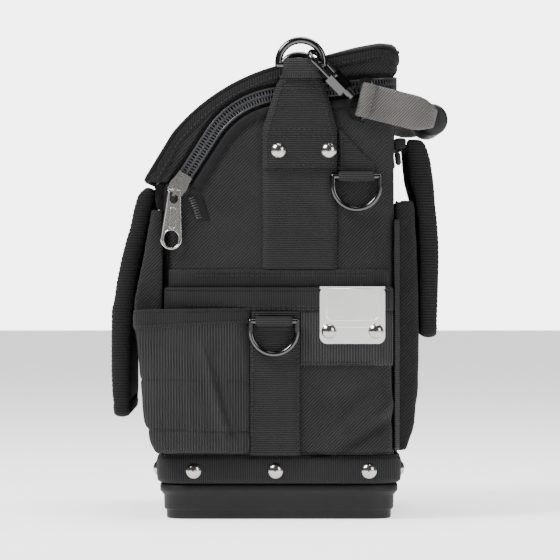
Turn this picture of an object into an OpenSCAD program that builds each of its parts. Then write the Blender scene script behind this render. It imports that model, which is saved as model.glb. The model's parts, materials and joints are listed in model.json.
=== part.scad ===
// Electrician's tool pouch: a tall soft bag on a moulded tray, with a zipped lid, side pockets and a
// clip-on carrying handle.
// X runs across the bag and +X is its right side. The front faces -Y. The underside of the tray is z = 0.

/* [Bag] */
// Width of the bag over its side panels
bag_w = 208; // [200:1:216]
// Distance of the front face from the middle of the base
front_d = 81; // [80:0.5:82]
// Distance of the rear face from the middle of the base
rear_d = 78; // [77:0.5:79]
// Radius of the upright corners
corner_r = 18; // [16:0.5:20]
// Thickness of the padded panels
panel_t = 3; // [2.5:0.1:3.5]

/* [Base tray] */
// Height of the foot of the tray
foot_h = 6; // [5:0.5:7]
// Height at which the rim of the tray starts
rim_z = 18; // [16:0.5:19]
// Height of the top of the rim, where the fabric starts
base_h = 24; // [23:0.5:25]
// Height of the wall of the tray inside the fabric
wall_top = 44; // [42:0.5:46]
// Height of the rivets that hold the fabric to the tray
base_rivet_z = 33.3; // [32:0.1:36]

/* [Webbing and rivets] */
// Width of the wide webbing
wide_w = 50.8; // [48:0.2:52]
// Width of the narrow webbing
narrow_w = 25; // [24:0.2:25.4]
// Thickness of one layer of webbing
webbing_t = 2; // [1.6:0.1:2.2]
// Thickness of the padded band round the bottom
band_t = 4.6; // [3:0.1:5]
// Radius of a rivet cap
cap_r = 5.2; // [4.6:0.1:5.6]
// Height of a rivet cap
cap_h = 2.6; // [2:0.1:3]
// Radius of a rivet shank
shank_r = 1.5; // [1.3:0.05:1.7]

/* [Lid and zip] */
// Height of the front hem, where the lid and the front flap are sewn on
hem_z = 230; // [228:0.5:231]
// Radius of the bend of the zip
zip_r = 59.5; // [58:0.5:61]
// Slope of the lower run of the zip, in degrees
zip_slope = 57.3; // [56:0.1:59]
// Half width of the zip between the edges of the fabric
zip_half = 7.8; // [7:0.1:8.5]
// Thickness of the top of the lid
lid_t = 4; // [3:0.5:5]

/* [Flaps] */
// Half width of the front flap
front_flap_hw = 82; // [70:1:90]
// Half width of the rear flap
rear_flap_hw = 80; // [70:1:84]

/* [Handle] */
// Radius of the rubber grip
grip_r = 11.6; // [11.2:0.1:12]
// Length of the rubber grip
grip_len = 130; // [100:2:150]
// Slope of the hanging strap, in degrees
handle_slope = -14; // [-15:0.5:-13]

/* [Rings] */
// Wire radius of the strap rings
ring_wire = 2.45; // [2.2:0.05:2.5]
// Wire radius of the accessory rings
dring_wire = 1.9; // [1.6:0.05:2]
// Radius of the round end of every ring, to the middle of its wire
ring_r = 15.2; // [14.8:0.1:15.6]

/* [Hidden] */
$fn = 48;

TWILL = "#2b2b2e";
WEBBING = "#232325";
PLASTIC = "#38383b";
NICKEL = "#d2d0ca";
GUNMETAL = "#5d5f62";
STRAP_GREY = "#86827c";
RUBBER = "#1c1c1e";

hw = bag_w / 2;
gap = 0.06;
hole_r = shank_r + 0.05;
washer_r = 4;
skin = 2;

// Plan lines: insets of the tray and the outer faces that lie on the sides.
wall_in = panel_t + 2.5;
foot_in = 2.5;
tray_in = 0.6;
rim_out = 2;
pocket_x = hw + 7;
binding_x = pocket_x + 1;
webbing_x = pocket_x + webbing_t;
ring_x = hw + 9.6;

// Heights of the rows of webbing and pockets on the sides.
band_low = 157;
band_high = 170.7;
pocket_low = wall_top;
binding_low = 142;

// Middle of the ring strap and of the two accessory rings, along Y.
strap_y = 12.7;
upper_y = 51.4;
lower_y = -4.8;

// Path of the zip on the side of the bag: a straight lower run, a bend and a nearly level run.
zip_turn = [-47, 263.1];
zip_dir = [cos(zip_slope), sin(zip_slope)];
zip_out = [-sin(zip_slope), cos(zip_slope)];
zip_centre = zip_turn - zip_r * zip_out;
zip_level = 5;
coil_in = 0.5;
coil_out = 4.6;
tape_out = 14;
tape_t = 0.8;
body_top = hem_z - 1;

// Hinge lines of the lid and of the two flaps, in (y, z).
front_hinge = [-91.3, hem_z - 8];
rear_hinge = [91, 257];
hinge_r = 4.2;

// Rings: the height of each bar, and the length of the legs between the bar and the round end.
ring_z = 309.8;
ring_y = 13.5;
ring_leg = 1.3;
roll_r = 4.5;
roll_w = narrow_w - 0.8;
upper_z = 234;
lower_z = 135.3;
dring_leg = 6.5;
upper_x = hw + 4.4;
lower_x = webbing_x + 3.7;
tab_r = 3.6;

// ---------------------------------------------------------------- helpers

function arc(c, r, a0, a1, n = 10) =
    [for (i = [0:n]) c + r * [cos(a0 + (a1 - a0) * i / n), sin(a0 + (a1 - a0) * i / n)]];
function rev(v) = [for (i = [len(v) - 1:-1:0]) v[i]];

// A side outline, drawn in (y, z), made solid from x0 to x1.
module along_x(x0, x1) translate([x0, 0, 0]) rotate([90, 0, 90]) linear_extrude(x1 - x0) children();

// An outline drawn in (x, z), made solid from y0 to y1.
module along_y(y0, y1) translate([0, y1, 0]) rotate([90, 0, 0]) linear_extrude(y1 - y0) children();

// A plan drawn in (x, y), made solid from z0 to z1.
module along_z(z0, z1) translate([0, 0, z0]) linear_extrude(z1 - z0) children();

module both_sides() {
    children();
    mirror([1, 0, 0]) children();
}

module box(lo, hi) translate(lo) cube(hi - lo);

module rounded(lo, hi, r) {
    translate([lo.x + r, lo.y]) square([hi.x - lo.x - 2 * r, hi.y - lo.y]);
    translate([lo.x, lo.y + r]) square([hi.x - lo.x, hi.y - lo.y - 2 * r]);
    for (x = [lo.x + r, hi.x - r], y = [lo.y + r, hi.y - r]) translate([x, y]) circle(r);
}

// Plan of the bag, inset by d.
module plan(d) rounded([d - hw, d - front_d], [hw - d, rear_d - d], corner_r - d);

module slab(d, z0, z1) along_z(z0, z1) plan(d);

// Upright wall that follows the plan between two insets.
module wall(d0, d1, z0, z1) along_z(z0, z1) difference() {
    plan(d0);
    plan(d1);
}

// The same for the zip and the lid, which are square at the front and round at the rear.
module lid_plan(d) rounded([d - hw, d - 130], [hw - d, rear_d - d], corner_r - d);

module lid_prism(d) along_z(body_top, body_top + 110) lid_plan(d);

module lid_wall(d0, d1) along_z(body_top, body_top + 110) difference() {
    lid_plan(d0);
    lid_plan(d1);
}

// Ring with a straight bar along Y at the origin and its round end towards +Z.
module dring(wire_r, radius, leg) {
    rotate([90, 0, 0]) cylinder(r = wire_r, h = 2 * radius, center = true);
    for (y = [-radius, radius]) translate([0, y, 0]) {
        sphere(wire_r);
        cylinder(r = wire_r, h = leg);
    }
    translate([0, 0, leg]) rotate([90, 0, 90]) rotate_extrude(angle = 180)
        translate([radius, 0]) circle(wire_r);
}

// Tube of webbing round a bar along Y.
module bar_loop(x, z, r, bore, y0, y1) translate([x, y0, z]) rotate([-90, 0, 0]) difference() {
    cylinder(r = r, h = y1 - y0);
    translate([0, 0, -1]) cylinder(r = bore, h = y1 - y0 + 2);
}

// ---------------------------------------------------------------- rivets

// Rivet along +Z, seated at z = 0, holding a stack of the given depth against a washer.
module rivet(depth) {
    dome_r = (cap_r * cap_r + cap_h * cap_h) / (2 * cap_h);
    intersection() {
        translate([0, 0, cap_h - dome_r]) sphere(dome_r);
        cylinder(r = cap_r + 1, h = cap_h + 1);
    }
    translate([0, 0, -depth]) cylinder(r = shank_r, h = depth + 1);
    translate([0, 0, -depth - 1]) cylinder(r = washer_r, h = 1);
}

// Room for the shank and for the washer behind it.
module rivet_hole(depth) {
    translate([0, 0, -depth - 0.5]) cylinder(r = hole_r, h = depth + 1);
    translate([0, 0, -depth - 2]) cylinder(r = washer_r + 0.1, h = 2);
}

module on_side(x, y, z) translate([x, y, z]) rotate([0, 90, 0]) children();

module base_rivet_places() {
    both_sides() for (y = [-59.5, -3.7, 60]) on_side(hw + band_t, y, base_rivet_z) children();
    for (x = [-70, 0, 70]) {
        translate([x, -front_d - band_t, base_rivet_z]) rotate([90, 0, 0]) children();
        translate([x, rear_d + band_t, base_rivet_z]) rotate([-90, 0, 0]) children();
    }
}

base_rivet_depth = band_t + wall_in;
strap_rivet_x = hw + 5.6;
strap_rivet_depth = 5.6 + panel_t;

module strap_rivet_places() for (y = [-1.7, 32.6]) on_side(strap_rivet_x, y, 251.5) children();

clip_t = 1.2;
clip_x = binding_x + 0.1;
clip_rivet_depth = clip_x + 2 * clip_t - pocket_x + skin + 0.1;

module clip_rivet_places() for (y = [32.6, 64.6]) on_side(clip_x + clip_t, y, 128.5) children();

module base_rivets() color(NICKEL) base_rivet_places() rivet(base_rivet_depth);

module strap_rivets() color(NICKEL) both_sides() strap_rivet_places() rivet(strap_rivet_depth);

module tape_clip_rivets() color(NICKEL) clip_rivet_places() rivet(clip_rivet_depth);

// ---------------------------------------------------------------- base

module base_tray() color(PLASTIC) difference() {
    union() {
        slab(foot_in, 0, foot_h);
        slab(tray_in, foot_h, rim_z);
        slab(-rim_out, rim_z, base_h);
        slab(panel_t, base_h, wall_top);
    }
    slab(foot_in + 3, 3, 10);
    slab(wall_in, 9, wall_top + 1);
    base_rivet_places() rivet_hole(base_rivet_depth);
}

module floor_board() color(RUBBER) slab(wall_in + 0.2, 9, 12);

module bottom_band() color(WEBBING) difference() {
    wall(-band_t, 0, base_h + 0.4, wall_top - 1);
    base_rivet_places() rivet_hole(base_rivet_depth);
}

// ---------------------------------------------------------------- zip outlines

function zip_edge(d, z0) =
    let (start = zip_turn + d * zip_out,
         end = zip_centre + (zip_r + d) * [cos(90 + zip_level), sin(90 + zip_level)])
    concat(
        [start + (z0 - start[1]) / zip_dir[1] * zip_dir],
        arc(zip_centre, zip_r + d, 90 + zip_slope, 90 + zip_level),
        [end + 100 * [cos(zip_level), sin(zip_level)]]);

module zip_strip(d0, d1, z0) polygon(concat(zip_edge(d0, z0), rev(zip_edge(d1, z0))));

// Everything on the body's side of a line beside the zip.
module under_zip(d, z0) polygon(concat([[110, base_h], [-110, base_h], [-110, z0]], zip_edge(d, z0)));

module zip_part(in, out, d0, d1, z0) intersection() {
    lid_wall(in, out);
    along_x(-hw - 1, hw + 1) zip_strip(d0, d1, z0);
}

module body_zip_tape() color(WEBBING) zip_part(panel_t, panel_t + tape_t, -tape_out, -coil_in, body_top);

module body_zip_coil() color(RUBBER) zip_part(0.2, panel_t, -coil_out, -coil_in, body_top);

module lid_zip_tape() color(WEBBING) intersection() {
    zip_part(panel_t, panel_t + tape_t, coil_in, tape_out, hem_z + 0.2);
    along_x(-hw, hw) lid_outline(lid_t + 0.3, body_top);
}

module lid_zip_coil() color(RUBBER) zip_part(0.2, panel_t, coil_in, coil_out, hem_z + 0.2);

// The ends of the zip, folded out over the side panels and sewn down.
module zip_tails() color(WEBBING) both_sides() along_x(hw, hw + tape_t)
    polygon([[-65, 219], [-54, 221], [-51, 206], [-62, 204]]);

// ---------------------------------------------------------------- body panels

module body_wall(x0, x1) intersection() {
    wall(0, panel_t, base_h, 320);
    along_x(x0, x1) under_zip(-zip_half, body_top);
}

module side_panel() color(TWILL) difference() {
    body_wall(hw - corner_r, hw + 1);
    base_rivet_places() rivet_hole(base_rivet_depth);
    strap_rivet_places() rivet_hole(strap_rivet_depth);
}

module side_panel_right() side_panel();

module side_panel_left() mirror([1, 0, 0]) side_panel();

module end_panel(y0, y1) color(TWILL) difference() {
    intersection() {
        body_wall(corner_r - hw, hw - corner_r);
        box([-hw, y0, 0], [hw, y1, 340]);
    }
    base_rivet_places() rivet_hole(base_rivet_depth);
}

module front_panel() end_panel(-front_d - 1, 0);

module rear_panel() end_panel(0, rear_d + 1);

module rear_stiffener() color(RUBBER)
    box([-84, rear_d - panel_t - 2, wall_top + 1], [84, rear_d - panel_t, 274]);

module centre_divider() color(TWILL) box([-hw + 8, 3, 12], [hw - 8, 7, 262]);

// Sewn tubes for long tools on both faces of the divider.
module divider_tool_loops() color(WEBBING) for (i = [-2:2], y = [-9, 7]) difference() {
    box([34 * i - 14, y, 150], [34 * i + 14, y + 12, 200]);
    box([34 * i - 12.8, y + 1.2, 149], [34 * i + 12.8, y + 10.8, 201]);
}

// ---------------------------------------------------------------- side webbing and pockets

module side_bands() color(WEBBING) intersection() {
    wall(-webbing_t, 0, band_low, band_high);
    both_sides() box([hw - corner_r, 2 - front_d, 0], [hw + 5, rear_d - 2, 340]);
}

module pocket_plan(d) rounded([0, 1 - front_d + d], [pocket_x - d, rear_d - 1 - d], 14 - d);

module side_pocket() color(TWILL) difference() {
    along_z(pocket_low, band_low) difference() {
        pocket_plan(0);
        plan(0);
        square([2 * (hw - corner_r), 400], center = true);
    }
    along_z(pocket_low + skin, 240) pocket_plan(skin);
}

module side_pocket_right() difference() {
    side_pocket();
    clip_rivet_places() rivet_hole(clip_rivet_depth);
}

module side_pocket_left() mirror([1, 0, 0]) side_pocket();

module pocket_bindings() color(WEBBING) both_sides()
    box([pocket_x, -64, binding_low], [binding_x, 61, band_low]);

module side_webbings() color(WEBBING) both_sides()
    box([pocket_x, -21, pocket_low], [webbing_x, 13, binding_low]);

// Long tool pocket that starts on the side pocket and bulges forward past the front corner.
module tool_plan(d) polygon([
    [pocket_x + d, -21.1 - d], [pocket_x + 1.5, -21.1 - d], [hw + 16 - d, -62], [hw + 16 - d, -99.5 + d],
    [hw + 0.3 + d, -99.5 + d], [hw + 0.3 + d, -front_d - 0.5 - d], [pocket_x + d, -front_d - 0.5 - d]]);

module tool_solid(d, z0, z1) intersection() {
    along_z(z0, z1) tool_plan(d);
    along_x(hw - 2, hw + 20)
        polygon([[-99.5 + d, 150], [-99.5 + d, 137], [-85 + d, 48], [-85 + d, 40], [0, 40], [0, 150]]);
}

module tool_pocket() color(WEBBING) difference() {
    tool_solid(0, 48, 141);
    tool_solid(1.4, 50, 149);
}

module tool_pocket_right() tool_pocket();

module tool_pocket_left() mirror([1, 0, 0]) tool_pocket();

// ---------------------------------------------------------------- ring strap, tabs and clip

// Local frame of the bar of the strap ring, with z along the bar.
module ring_bar() translate([ring_x, ring_y, ring_z]) rotate([90, 0, 0]) children();

module ring_strap() color(WEBBING) difference() {
    union() {
        along_x(hw, hw + 2.2)
            translate([strap_y - wide_w / 2, band_high + 0.3]) square([wide_w, 262 - band_high]);
        along_x(hw + 1.2, strap_rivet_x) polygon([
            [strap_y - wide_w / 2, 238], [strap_y + wide_w / 2, 238], [strap_y + wide_w / 2, 266],
            [ring_y + 16.5, 297], [ring_y + roll_w / 2, 303], [ring_y - roll_w / 2, 303],
            [ring_y - 16.5, 297], [strap_y - wide_w / 2, 266]]);
        along_y(ring_y - roll_w / 2, ring_y + roll_w / 2) polygon([
            [hw + 1.2, 299], [strap_rivet_x, 299], [ring_x + 3.4, ring_z - 3], [ring_x - 3.4, ring_z + 3]]);
        ring_bar() cylinder(r = roll_r, h = roll_w, center = true);
    }
    ring_bar() cylinder(r = ring_wire + gap, h = 40, center = true);
    strap_rivet_places() rivet_hole(strap_rivet_depth);
}

module ring_strap_right() ring_strap();

module ring_strap_left() mirror([1, 0, 0]) ring_strap();

// Folded webbing that carries the accessory rings.
module upper_tab() {
    y0 = upper_y - 12;
    y1 = upper_y + 12;
    difference() {
        along_x(hw, hw + webbing_t)
            polygon([[y0, upper_z - 3], [y1, upper_z - 3], [y1, 243], [y1 - 6, 248], [y0, 266]]);
        translate([upper_x, y0 - 1, upper_z]) rotate([-90, 0, 0]) cylinder(r = tab_r - 1, h = 30);
    }
    bar_loop(upper_x, upper_z, tab_r, dring_wire + gap, y0, y1);
}

module lower_tab() {
    y0 = lower_y - 12.7;
    y1 = lower_y + 12.7;
    difference() {
        box([webbing_x, y0, lower_z - 7], [webbing_x + 1.4, y1, binding_low]);
        translate([lower_x, y0 - 1, lower_z]) rotate([-90, 0, 0]) cylinder(r = tab_r - 1, h = 30);
    }
    bar_loop(lower_x, lower_z, tab_r, dring_wire + gap, y0, y1);
}

module accessory_tabs() color(WEBBING) both_sides() {
    upper_tab();
    lower_tab();
}

// Plate folded over the top edge of the right pocket, to hang a tape measure from.
module tape_clip() color(NICKEL) difference() {
    union() {
        along_x(clip_x, clip_x + clip_t) rounded([26.4, 120], [70.8, 159], 5);
        box([pocket_x - skin - 0.1 - clip_t, 26.4, band_low + 0.3], [clip_x + clip_t, 70.8, 159]);
        intersection() {
            box([pocket_x - skin - 0.1 - clip_t, 26.4, 124], [pocket_x - skin - 0.1, 70.8, 159]);
            along_z(120, 160) pocket_plan(skin + 0.1);
        }
    }
    clip_rivet_places() rivet_hole(clip_rivet_depth);
}

// ---------------------------------------------------------------- front and rear pockets

module hollow(hw_out, outer, inner) difference() {
    along_x(-hw_out, hw_out) polygon(outer);
    along_x(skin - hw_out, hw_out - skin) polygon(inner);
}

module front_pocket() color(TWILL) hollow(hw - 1,
    [[-81, 44], [-84, 44], [-101, 137], [-100, 150], [-94, 178], [-88, 212], [-81, 212]],
    [[-82, 46], [-82.7, 46], [-99, 137], [-98, 150], [-92, 178], [-86, 213], [-82, 213]]);

module front_loop_patch() color(RUBBER) along_x(-60, 60)
    polygon([[-100, 150], [-94, 178], [-94.9, 178.2], [-100.9, 150.2]]);

module rear_pocket() color(TWILL) hollow(rear_flap_hw + 1.8,
    [[78, 46], [86, 46], [91.6, 62], [94.4, 90], [94.9, 122], [93.4, 185], [91.5, 218], [78, 218]],
    [[79, 48], [84.6, 48], [89.8, 63], [92.4, 90], [92.9, 122], [91.4, 185], [89.5, 219], [79, 219]]);

module rear_bindings() color(WEBBING) intersection() {
    wall(-3.5, 0, 46.2, 205);
    both_sides() box([rear_flap_hw + 2, rear_d - 0.9, 0], [hw + 5, 90, 300]);
}

// ---------------------------------------------------------------- lid

lid_front_slope = 59.4;
lid_c = [33.5, 175.3];
lid_r = 138.8;
lid_lip = 318.5;

module lid_outline(d, z0) polygon(concat(
    [[-94 + d / sin(lid_front_slope) + (z0 - hem_z) / tan(lid_front_slope), z0]],
    arc(lid_c, lid_r - d, 140.4, 104, 14),
    [[66, 323.4 - d], [74, 323 - d], [rear_d + 1.5, lid_lip - d], [rear_d + 1.5, z0]]));

module lid_shell() color(TWILL) difference() {
    intersection() {
        lid_prism(0);
        along_x(-hw, hw) lid_outline(0, hem_z);
    }
    intersection() {
        lid_prism(panel_t);
        along_x(-hw, hw) lid_outline(lid_t, body_top);
    }
    along_x(-hw - 1, hw + 1) under_zip(zip_half, body_top);
}

module lid_binding() color(WEBBING) intersection() {
    lid_wall(-0.8, 0);
    along_x(-hw - 2, hw + 2) difference() {
        lid_outline(2, hem_z + 0.5);
        lid_outline(9, body_top);
        under_zip(zip_half, body_top);
    }
}

// ---------------------------------------------------------------- flaps

FRONT_OUTER = [[-95, 224.5], [-97.8, 221], [-100.6, 211], [-102.7, 200], [-106.1, 189], [-109.4, 176],
    [-112.4, 161], [-113.8, 150], [-115.8, 142], [-115.9, 100], [-115.2, 84], [-113.4, 73], [-109.5, 69.4]];
FRONT_INNER = [[-104.8, 73], [-103.9, 84], [-103.9, 123], [-102, 150], [-97, 177], [-89.2, 213],
    [-86.6, 222]];

module front_outline() {
    polygon(concat(FRONT_OUTER, FRONT_INNER));
    translate(front_hinge) circle(hinge_r);
}

module front_flap() color(TWILL) along_x(-front_flap_hw, front_flap_hw) front_outline();

module front_flap_binding() color(WEBBING) both_sides()
    along_x(front_flap_hw, front_flap_hw + 1.2) front_outline();

module front_flap_badge() color(RUBBER) along_y(-117.9, -115.95) rounded([-35, 104], [35, 136], 4);

module front_flap_snap() color(NICKEL) translate([0, -117.9, 115.8]) rotate([90, 0, 0]) intersection() {
    translate([0, 0, -4.9]) sphere(6.7);
    cylinder(r = 6, h = 3);
}

// Hook tape on the inner face of the front flap, which grips the loop tape on the front pocket.
module front_hook_patch() color(RUBBER) along_x(-60, 60)
    polygon([[-102, 150], [-97, 177], [-96.2, 176.8], [-101.2, 149.8]]);

module front_flap_yoke() color(WEBBING)
    box([-front_flap_hw, -front_d - 4.4, 214], [front_flap_hw, -front_d, body_top]);

REAR_OUTER = [[94.4, 260.2], [98.2, 257], [100.4, 251], [102.2, 244.6], [103.6, 233.4], [105, 217],
    [106.4, 205.6], [107.6, 190], [107.8, 178], [107.1, 150], [106.3, 128], [104.5, 124]];
REAR_INNER = [[98.4, 124.4], [96.6, 130], [96.4, 150], [96.4, 178], [95.4, 205], [93, 219], [89.6, 232],
    [87.4, 254]];

module rear_outline() {
    polygon(concat(REAR_OUTER, REAR_INNER));
    translate(rear_hinge) circle(hinge_r);
}

module rear_flap() color(TWILL) along_x(-rear_flap_hw, rear_flap_hw) rear_outline();

module rear_flap_binding() color(WEBBING) both_sides()
    along_x(rear_flap_hw, rear_flap_hw + 1.2) rear_outline();

module rear_flap_yoke() color(WEBBING) box([-rear_flap_hw, rear_d, 253], [rear_flap_hw, 86, 261]);

// ---------------------------------------------------------------- slider and pull

slider_z = 228.6;
slider_y = zip_turn[0] + (slider_z - zip_turn[1]) / tan(zip_slope);

// Local frame of the slider: x up the zip, y towards the lid, z out of the side.
module slider_frame() translate([0, slider_y, slider_z]) rotate([zip_slope, 0, 0]) rotate([90, 0, 90])
    children();

SLIDER_HALF = [[8, 5.2], [3.5, 5.3], [-1, 6.3], [-6.8, 5.6], [-7.6, 4]];

module zip_slider() color(NICKEL) slider_frame() {
    along_z(hw + 0.2, hw + 1.6) polygon(concat(SLIDER_HALF, rev([for (p = SLIDER_HALF) [p[0], -p[1]]])));
    along_z(hw - 5.3, hw - 4.1) polygon([[8, 5], [2.4, 6], [2.4, -6], [8, -5]]);
    translate([3.4, -0.3, hw - 5]) cube([3.4, 0.6, 6]);
    translate([-2.2, 0.66, 0]) rotate([0, 0, 11.5]) {
        for (x = [-5.6, 4.6]) translate([x, -1, hw + 1]) cube([1.9, 2, 4]);
        translate([-7.2, -1, hw + 3.7]) cube([14.4, 2, 1.7]);
    }
}

pull_reach = 33.8;
pull_hole_r = 4.9;
pull_tip_r = 7.4;
pull_bar_r = 0.8;
pull_z = hw + 2.6;

// Local frame of the pull: origin on the bar that hooks under the slider's bail, x down the tab.
module pull_frame() translate([0, slider_y - 3.5, slider_z - 3.6]) rotate([-93.8, 0, 0]) rotate([90, 0, 90])
    children();

module zip_pull() color(NICKEL) pull_frame() {
    tip = [pull_reach, 0];
    difference() {
        along_z(pull_z - 0.75, pull_z + 0.75)
            polygon(concat([[0, 4.4]], arc(tip, pull_tip_r, 90, -90, 20), [[0, -4.4]]));
        along_z(pull_z - 2, pull_z + 2) {
            translate([-1, -2.8]) square([7.8, 5.6]);
            translate([6.8, 0]) circle(2.8);
            for (x = [-1.1, 1.1]) translate([pull_reach + x, 0]) circle(pull_hole_r);
            translate([pull_reach - 1.1, -pull_hole_r]) square([2.2, 2 * pull_hole_r]);
        }
    }
    translate([0, 0, pull_z]) rotate([90, 0, 0]) cylinder(r = pull_bar_r, h = 8.8, center = true);
}

// ---------------------------------------------------------------- rings

module strap_ring() color(GUNMETAL) translate([ring_x, ring_y, ring_z]) dring(ring_wire, ring_r, ring_leg);

module strap_ring_right() strap_ring();

module strap_ring_left() mirror([1, 0, 0]) strap_ring();

module upper_dring() color(GUNMETAL)
    translate([upper_x, upper_y, upper_z]) rotate([180, 0, 0]) dring(dring_wire, ring_r + 0.6, dring_leg);

module upper_dring_right() upper_dring();

module upper_dring_left() mirror([1, 0, 0]) upper_dring();

module lower_dring() color(GUNMETAL)
    translate([lower_x, lower_y, lower_z]) rotate([180, 0, 0]) dring(dring_wire, ring_r + 0.6, dring_leg);

module lower_dring_right() lower_dring();

module lower_dring_left() mirror([1, 0, 0]) lower_dring();

// ---------------------------------------------------------------- snap hooks and handle

hook_y = 28;
hook_z = 310.2;
hook_slope = -46;
hook_tilt = -66;
hook_r = 7.2;
hook_wire = 1.8;
bolt_r = 1.6;
collar_x = 28;

// Local frame of the right hook: x from the nose to the collar, y towards its back.
module hook_frame() translate([ring_x, hook_y, hook_z]) rotate([hook_slope, 0, 0]) rotate([90, 0, 90])
    rotate([hook_tilt, 0, 0]) children();

module snap_hook() hook_frame() difference() {
    union() {
        translate([-4, 0, 0]) rotate([0, 0, 90]) rotate_extrude(angle = 180)
            translate([hook_r, 0]) circle(hook_wire);
        translate([-4, hook_r, 0]) rotate([0, 90, 0]) cylinder(r = hook_wire, h = 16);
        translate([-4, -hook_r, 0]) rotate([0, 90, 0]) cylinder(r = hook_wire, h = 2);
        box([10, -9.7, -3], [24, 6.8, 3]);
        translate([24, 0, 0]) rotate([0, 90, 0]) cylinder(r = 4.4, h = collar_x - 24);
    }
    translate([8, -hook_r, 0]) rotate([0, 90, 0]) cylinder(r = bolt_r + gap, h = 14.5);
    box([11, -hook_r - 1.5, 0], [22.5, -hook_r + 1.5, 4]);
    translate([21, 0, 0]) rotate([0, 90, 0]) cylinder(r = 2 + gap, h = 10);
}

module snap_hooks() color(GUNMETAL) both_sides() snap_hook();

module hook_bolt() color(GUNMETAL) hook_frame() {
    translate([-1.8, -hook_r, 0]) rotate([0, 90, 0]) cylinder(r = bolt_r, h = 15.2);
    translate([12.4, -hook_r, 0]) cylinder(r = 1.3, h = 5.5);
}

module hook_bolt_right() hook_bolt();

module hook_bolt_left() mirror([1, 0, 0]) hook_bolt();

eye_y = 57.8;
eye_z = 285.4;
eye_half_t = 1.7;
eye_bar_r = 1.9;
strap_leg_t = 3.2;
strap_w = 23.5;
grip_at = 48;

// Local frame of the handle: origin at the middle of the eye bars, y along the strap, z across its width.
module handle_frame() translate([0, eye_y, eye_z]) rotate([handle_slope, 0, 0]) children();

// Cast frame between the swivel and the bar that the strap loops round, in the handle's (y, z).
EYE_OUTER = [[2, 15.1], [-3.6, 15.2], [-7.2, 12.6], [-9, 7.2], [-8.6, 6], [-10.4, 2.8], [-12.4, -2],
    [-12.6, -7], [-10.5, -12], [-6, -15], [2, -15.2]];
EYE_INNER = [[8, 12.4], [-3.6, 12.4], [-5.6, 10.6], [-7, 6.5], [-8.2, 2], [-9.8, -2.6], [-9.9, -6.6],
    [-8.2, -10.4], [-5, -12.5], [8, -12.5]];

module hook_eye() {
    hook_frame() translate([21.5, 0, 0]) rotate([0, 90, 0]) {
        cylinder(r = 2, h = 8);
        translate([0, 0, collar_x - 21.4]) cylinder(r = 3.6, h = 2.4);
    }
    handle_frame() {
        along_x(ring_x - eye_half_t, ring_x + eye_half_t) difference() {
            polygon(EYE_OUTER);
            polygon(EYE_INNER);
        }
        translate([ring_x, 0, -13.8]) cylinder(r = eye_bar_r, h = 27.6);
    }
}

module hook_eyes() color(GUNMETAL) both_sides() hook_eye();

// Outline of the strap seen along its width, inset by d.
module ribbon_plan(d) {
    x = ring_x + strap_leg_t / 2 - d;
    rounded([-x, -80], [x, grip_at + strap_leg_t / 2 - d], 20 - d);
}

// Half the width of the strap inside the grip.
function grip_slot() = grip_r - 2.1;

module handle_strap() color(STRAP_GREY) handle_frame() difference() {
    union() {
        along_z(-strap_w / 2, strap_w / 2) difference() {
            ribbon_plan(0);
            ribbon_plan(strap_leg_t);
            translate([-200, -100]) square([400, 102]);
        }
        for (x = [-ring_x, ring_x]) translate([x, 0, -strap_w / 2]) cylinder(r = 3.6, h = strap_w);
    }
    for (x = [-ring_x, ring_x]) translate([x, 0, -20]) cylinder(r = eye_bar_r + gap, h = 40);
    for (side = [0, 1]) mirror([0, 0, side]) translate([-grip_len / 2 - 6, 30, grip_slot() - 0.3])
        cube([grip_len + 12, 30, 10]);
}

module handle_grip() color(RUBBER) handle_frame() difference() {
    translate([-grip_len / 2, grip_at, 0]) rotate([0, 90, 0]) cylinder(r = grip_r, h = grip_len);
    translate([-grip_len, grip_at - 1.8, -grip_slot()]) cube([2 * grip_len, 3.6, 2 * grip_slot()]);
}

// ---------------------------------------------------------------- nodes

base_tray();
floor_board();
bottom_band();
base_rivets();
side_panel_right();
side_panel_left();
front_panel();
rear_panel();
rear_stiffener();
centre_divider();
divider_tool_loops();
body_zip_tape();
body_zip_coil();
zip_tails();
side_bands();
side_pocket_right();
side_pocket_left();
pocket_bindings();
side_webbings();
tool_pocket_right();
tool_pocket_left();
ring_strap_right();
ring_strap_left();
strap_rivets();
accessory_tabs();
tape_clip();
tape_clip_rivets();
front_pocket();
front_loop_patch();
front_flap_yoke();
rear_pocket();
rear_flap_yoke();
rear_bindings();
lid_shell();
lid_binding();
lid_zip_tape();
lid_zip_coil();
front_flap();
front_flap_binding();
front_flap_badge();
front_flap_snap();
front_hook_patch();
rear_flap();
rear_flap_binding();
zip_slider();
zip_pull();
strap_ring_right();
strap_ring_left();
upper_dring_right();
upper_dring_left();
lower_dring_right();
lower_dring_left();
snap_hooks();
hook_bolt_right();
hook_bolt_left();
hook_eyes();
handle_strap();
handle_grip();
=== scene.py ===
"""Looks of the tool pouch: cloth, webbing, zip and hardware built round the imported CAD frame."""

import json
import math

import bpy
import numpy as np
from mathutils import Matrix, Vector
from mathutils.bvhtree import BVHTree


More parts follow.
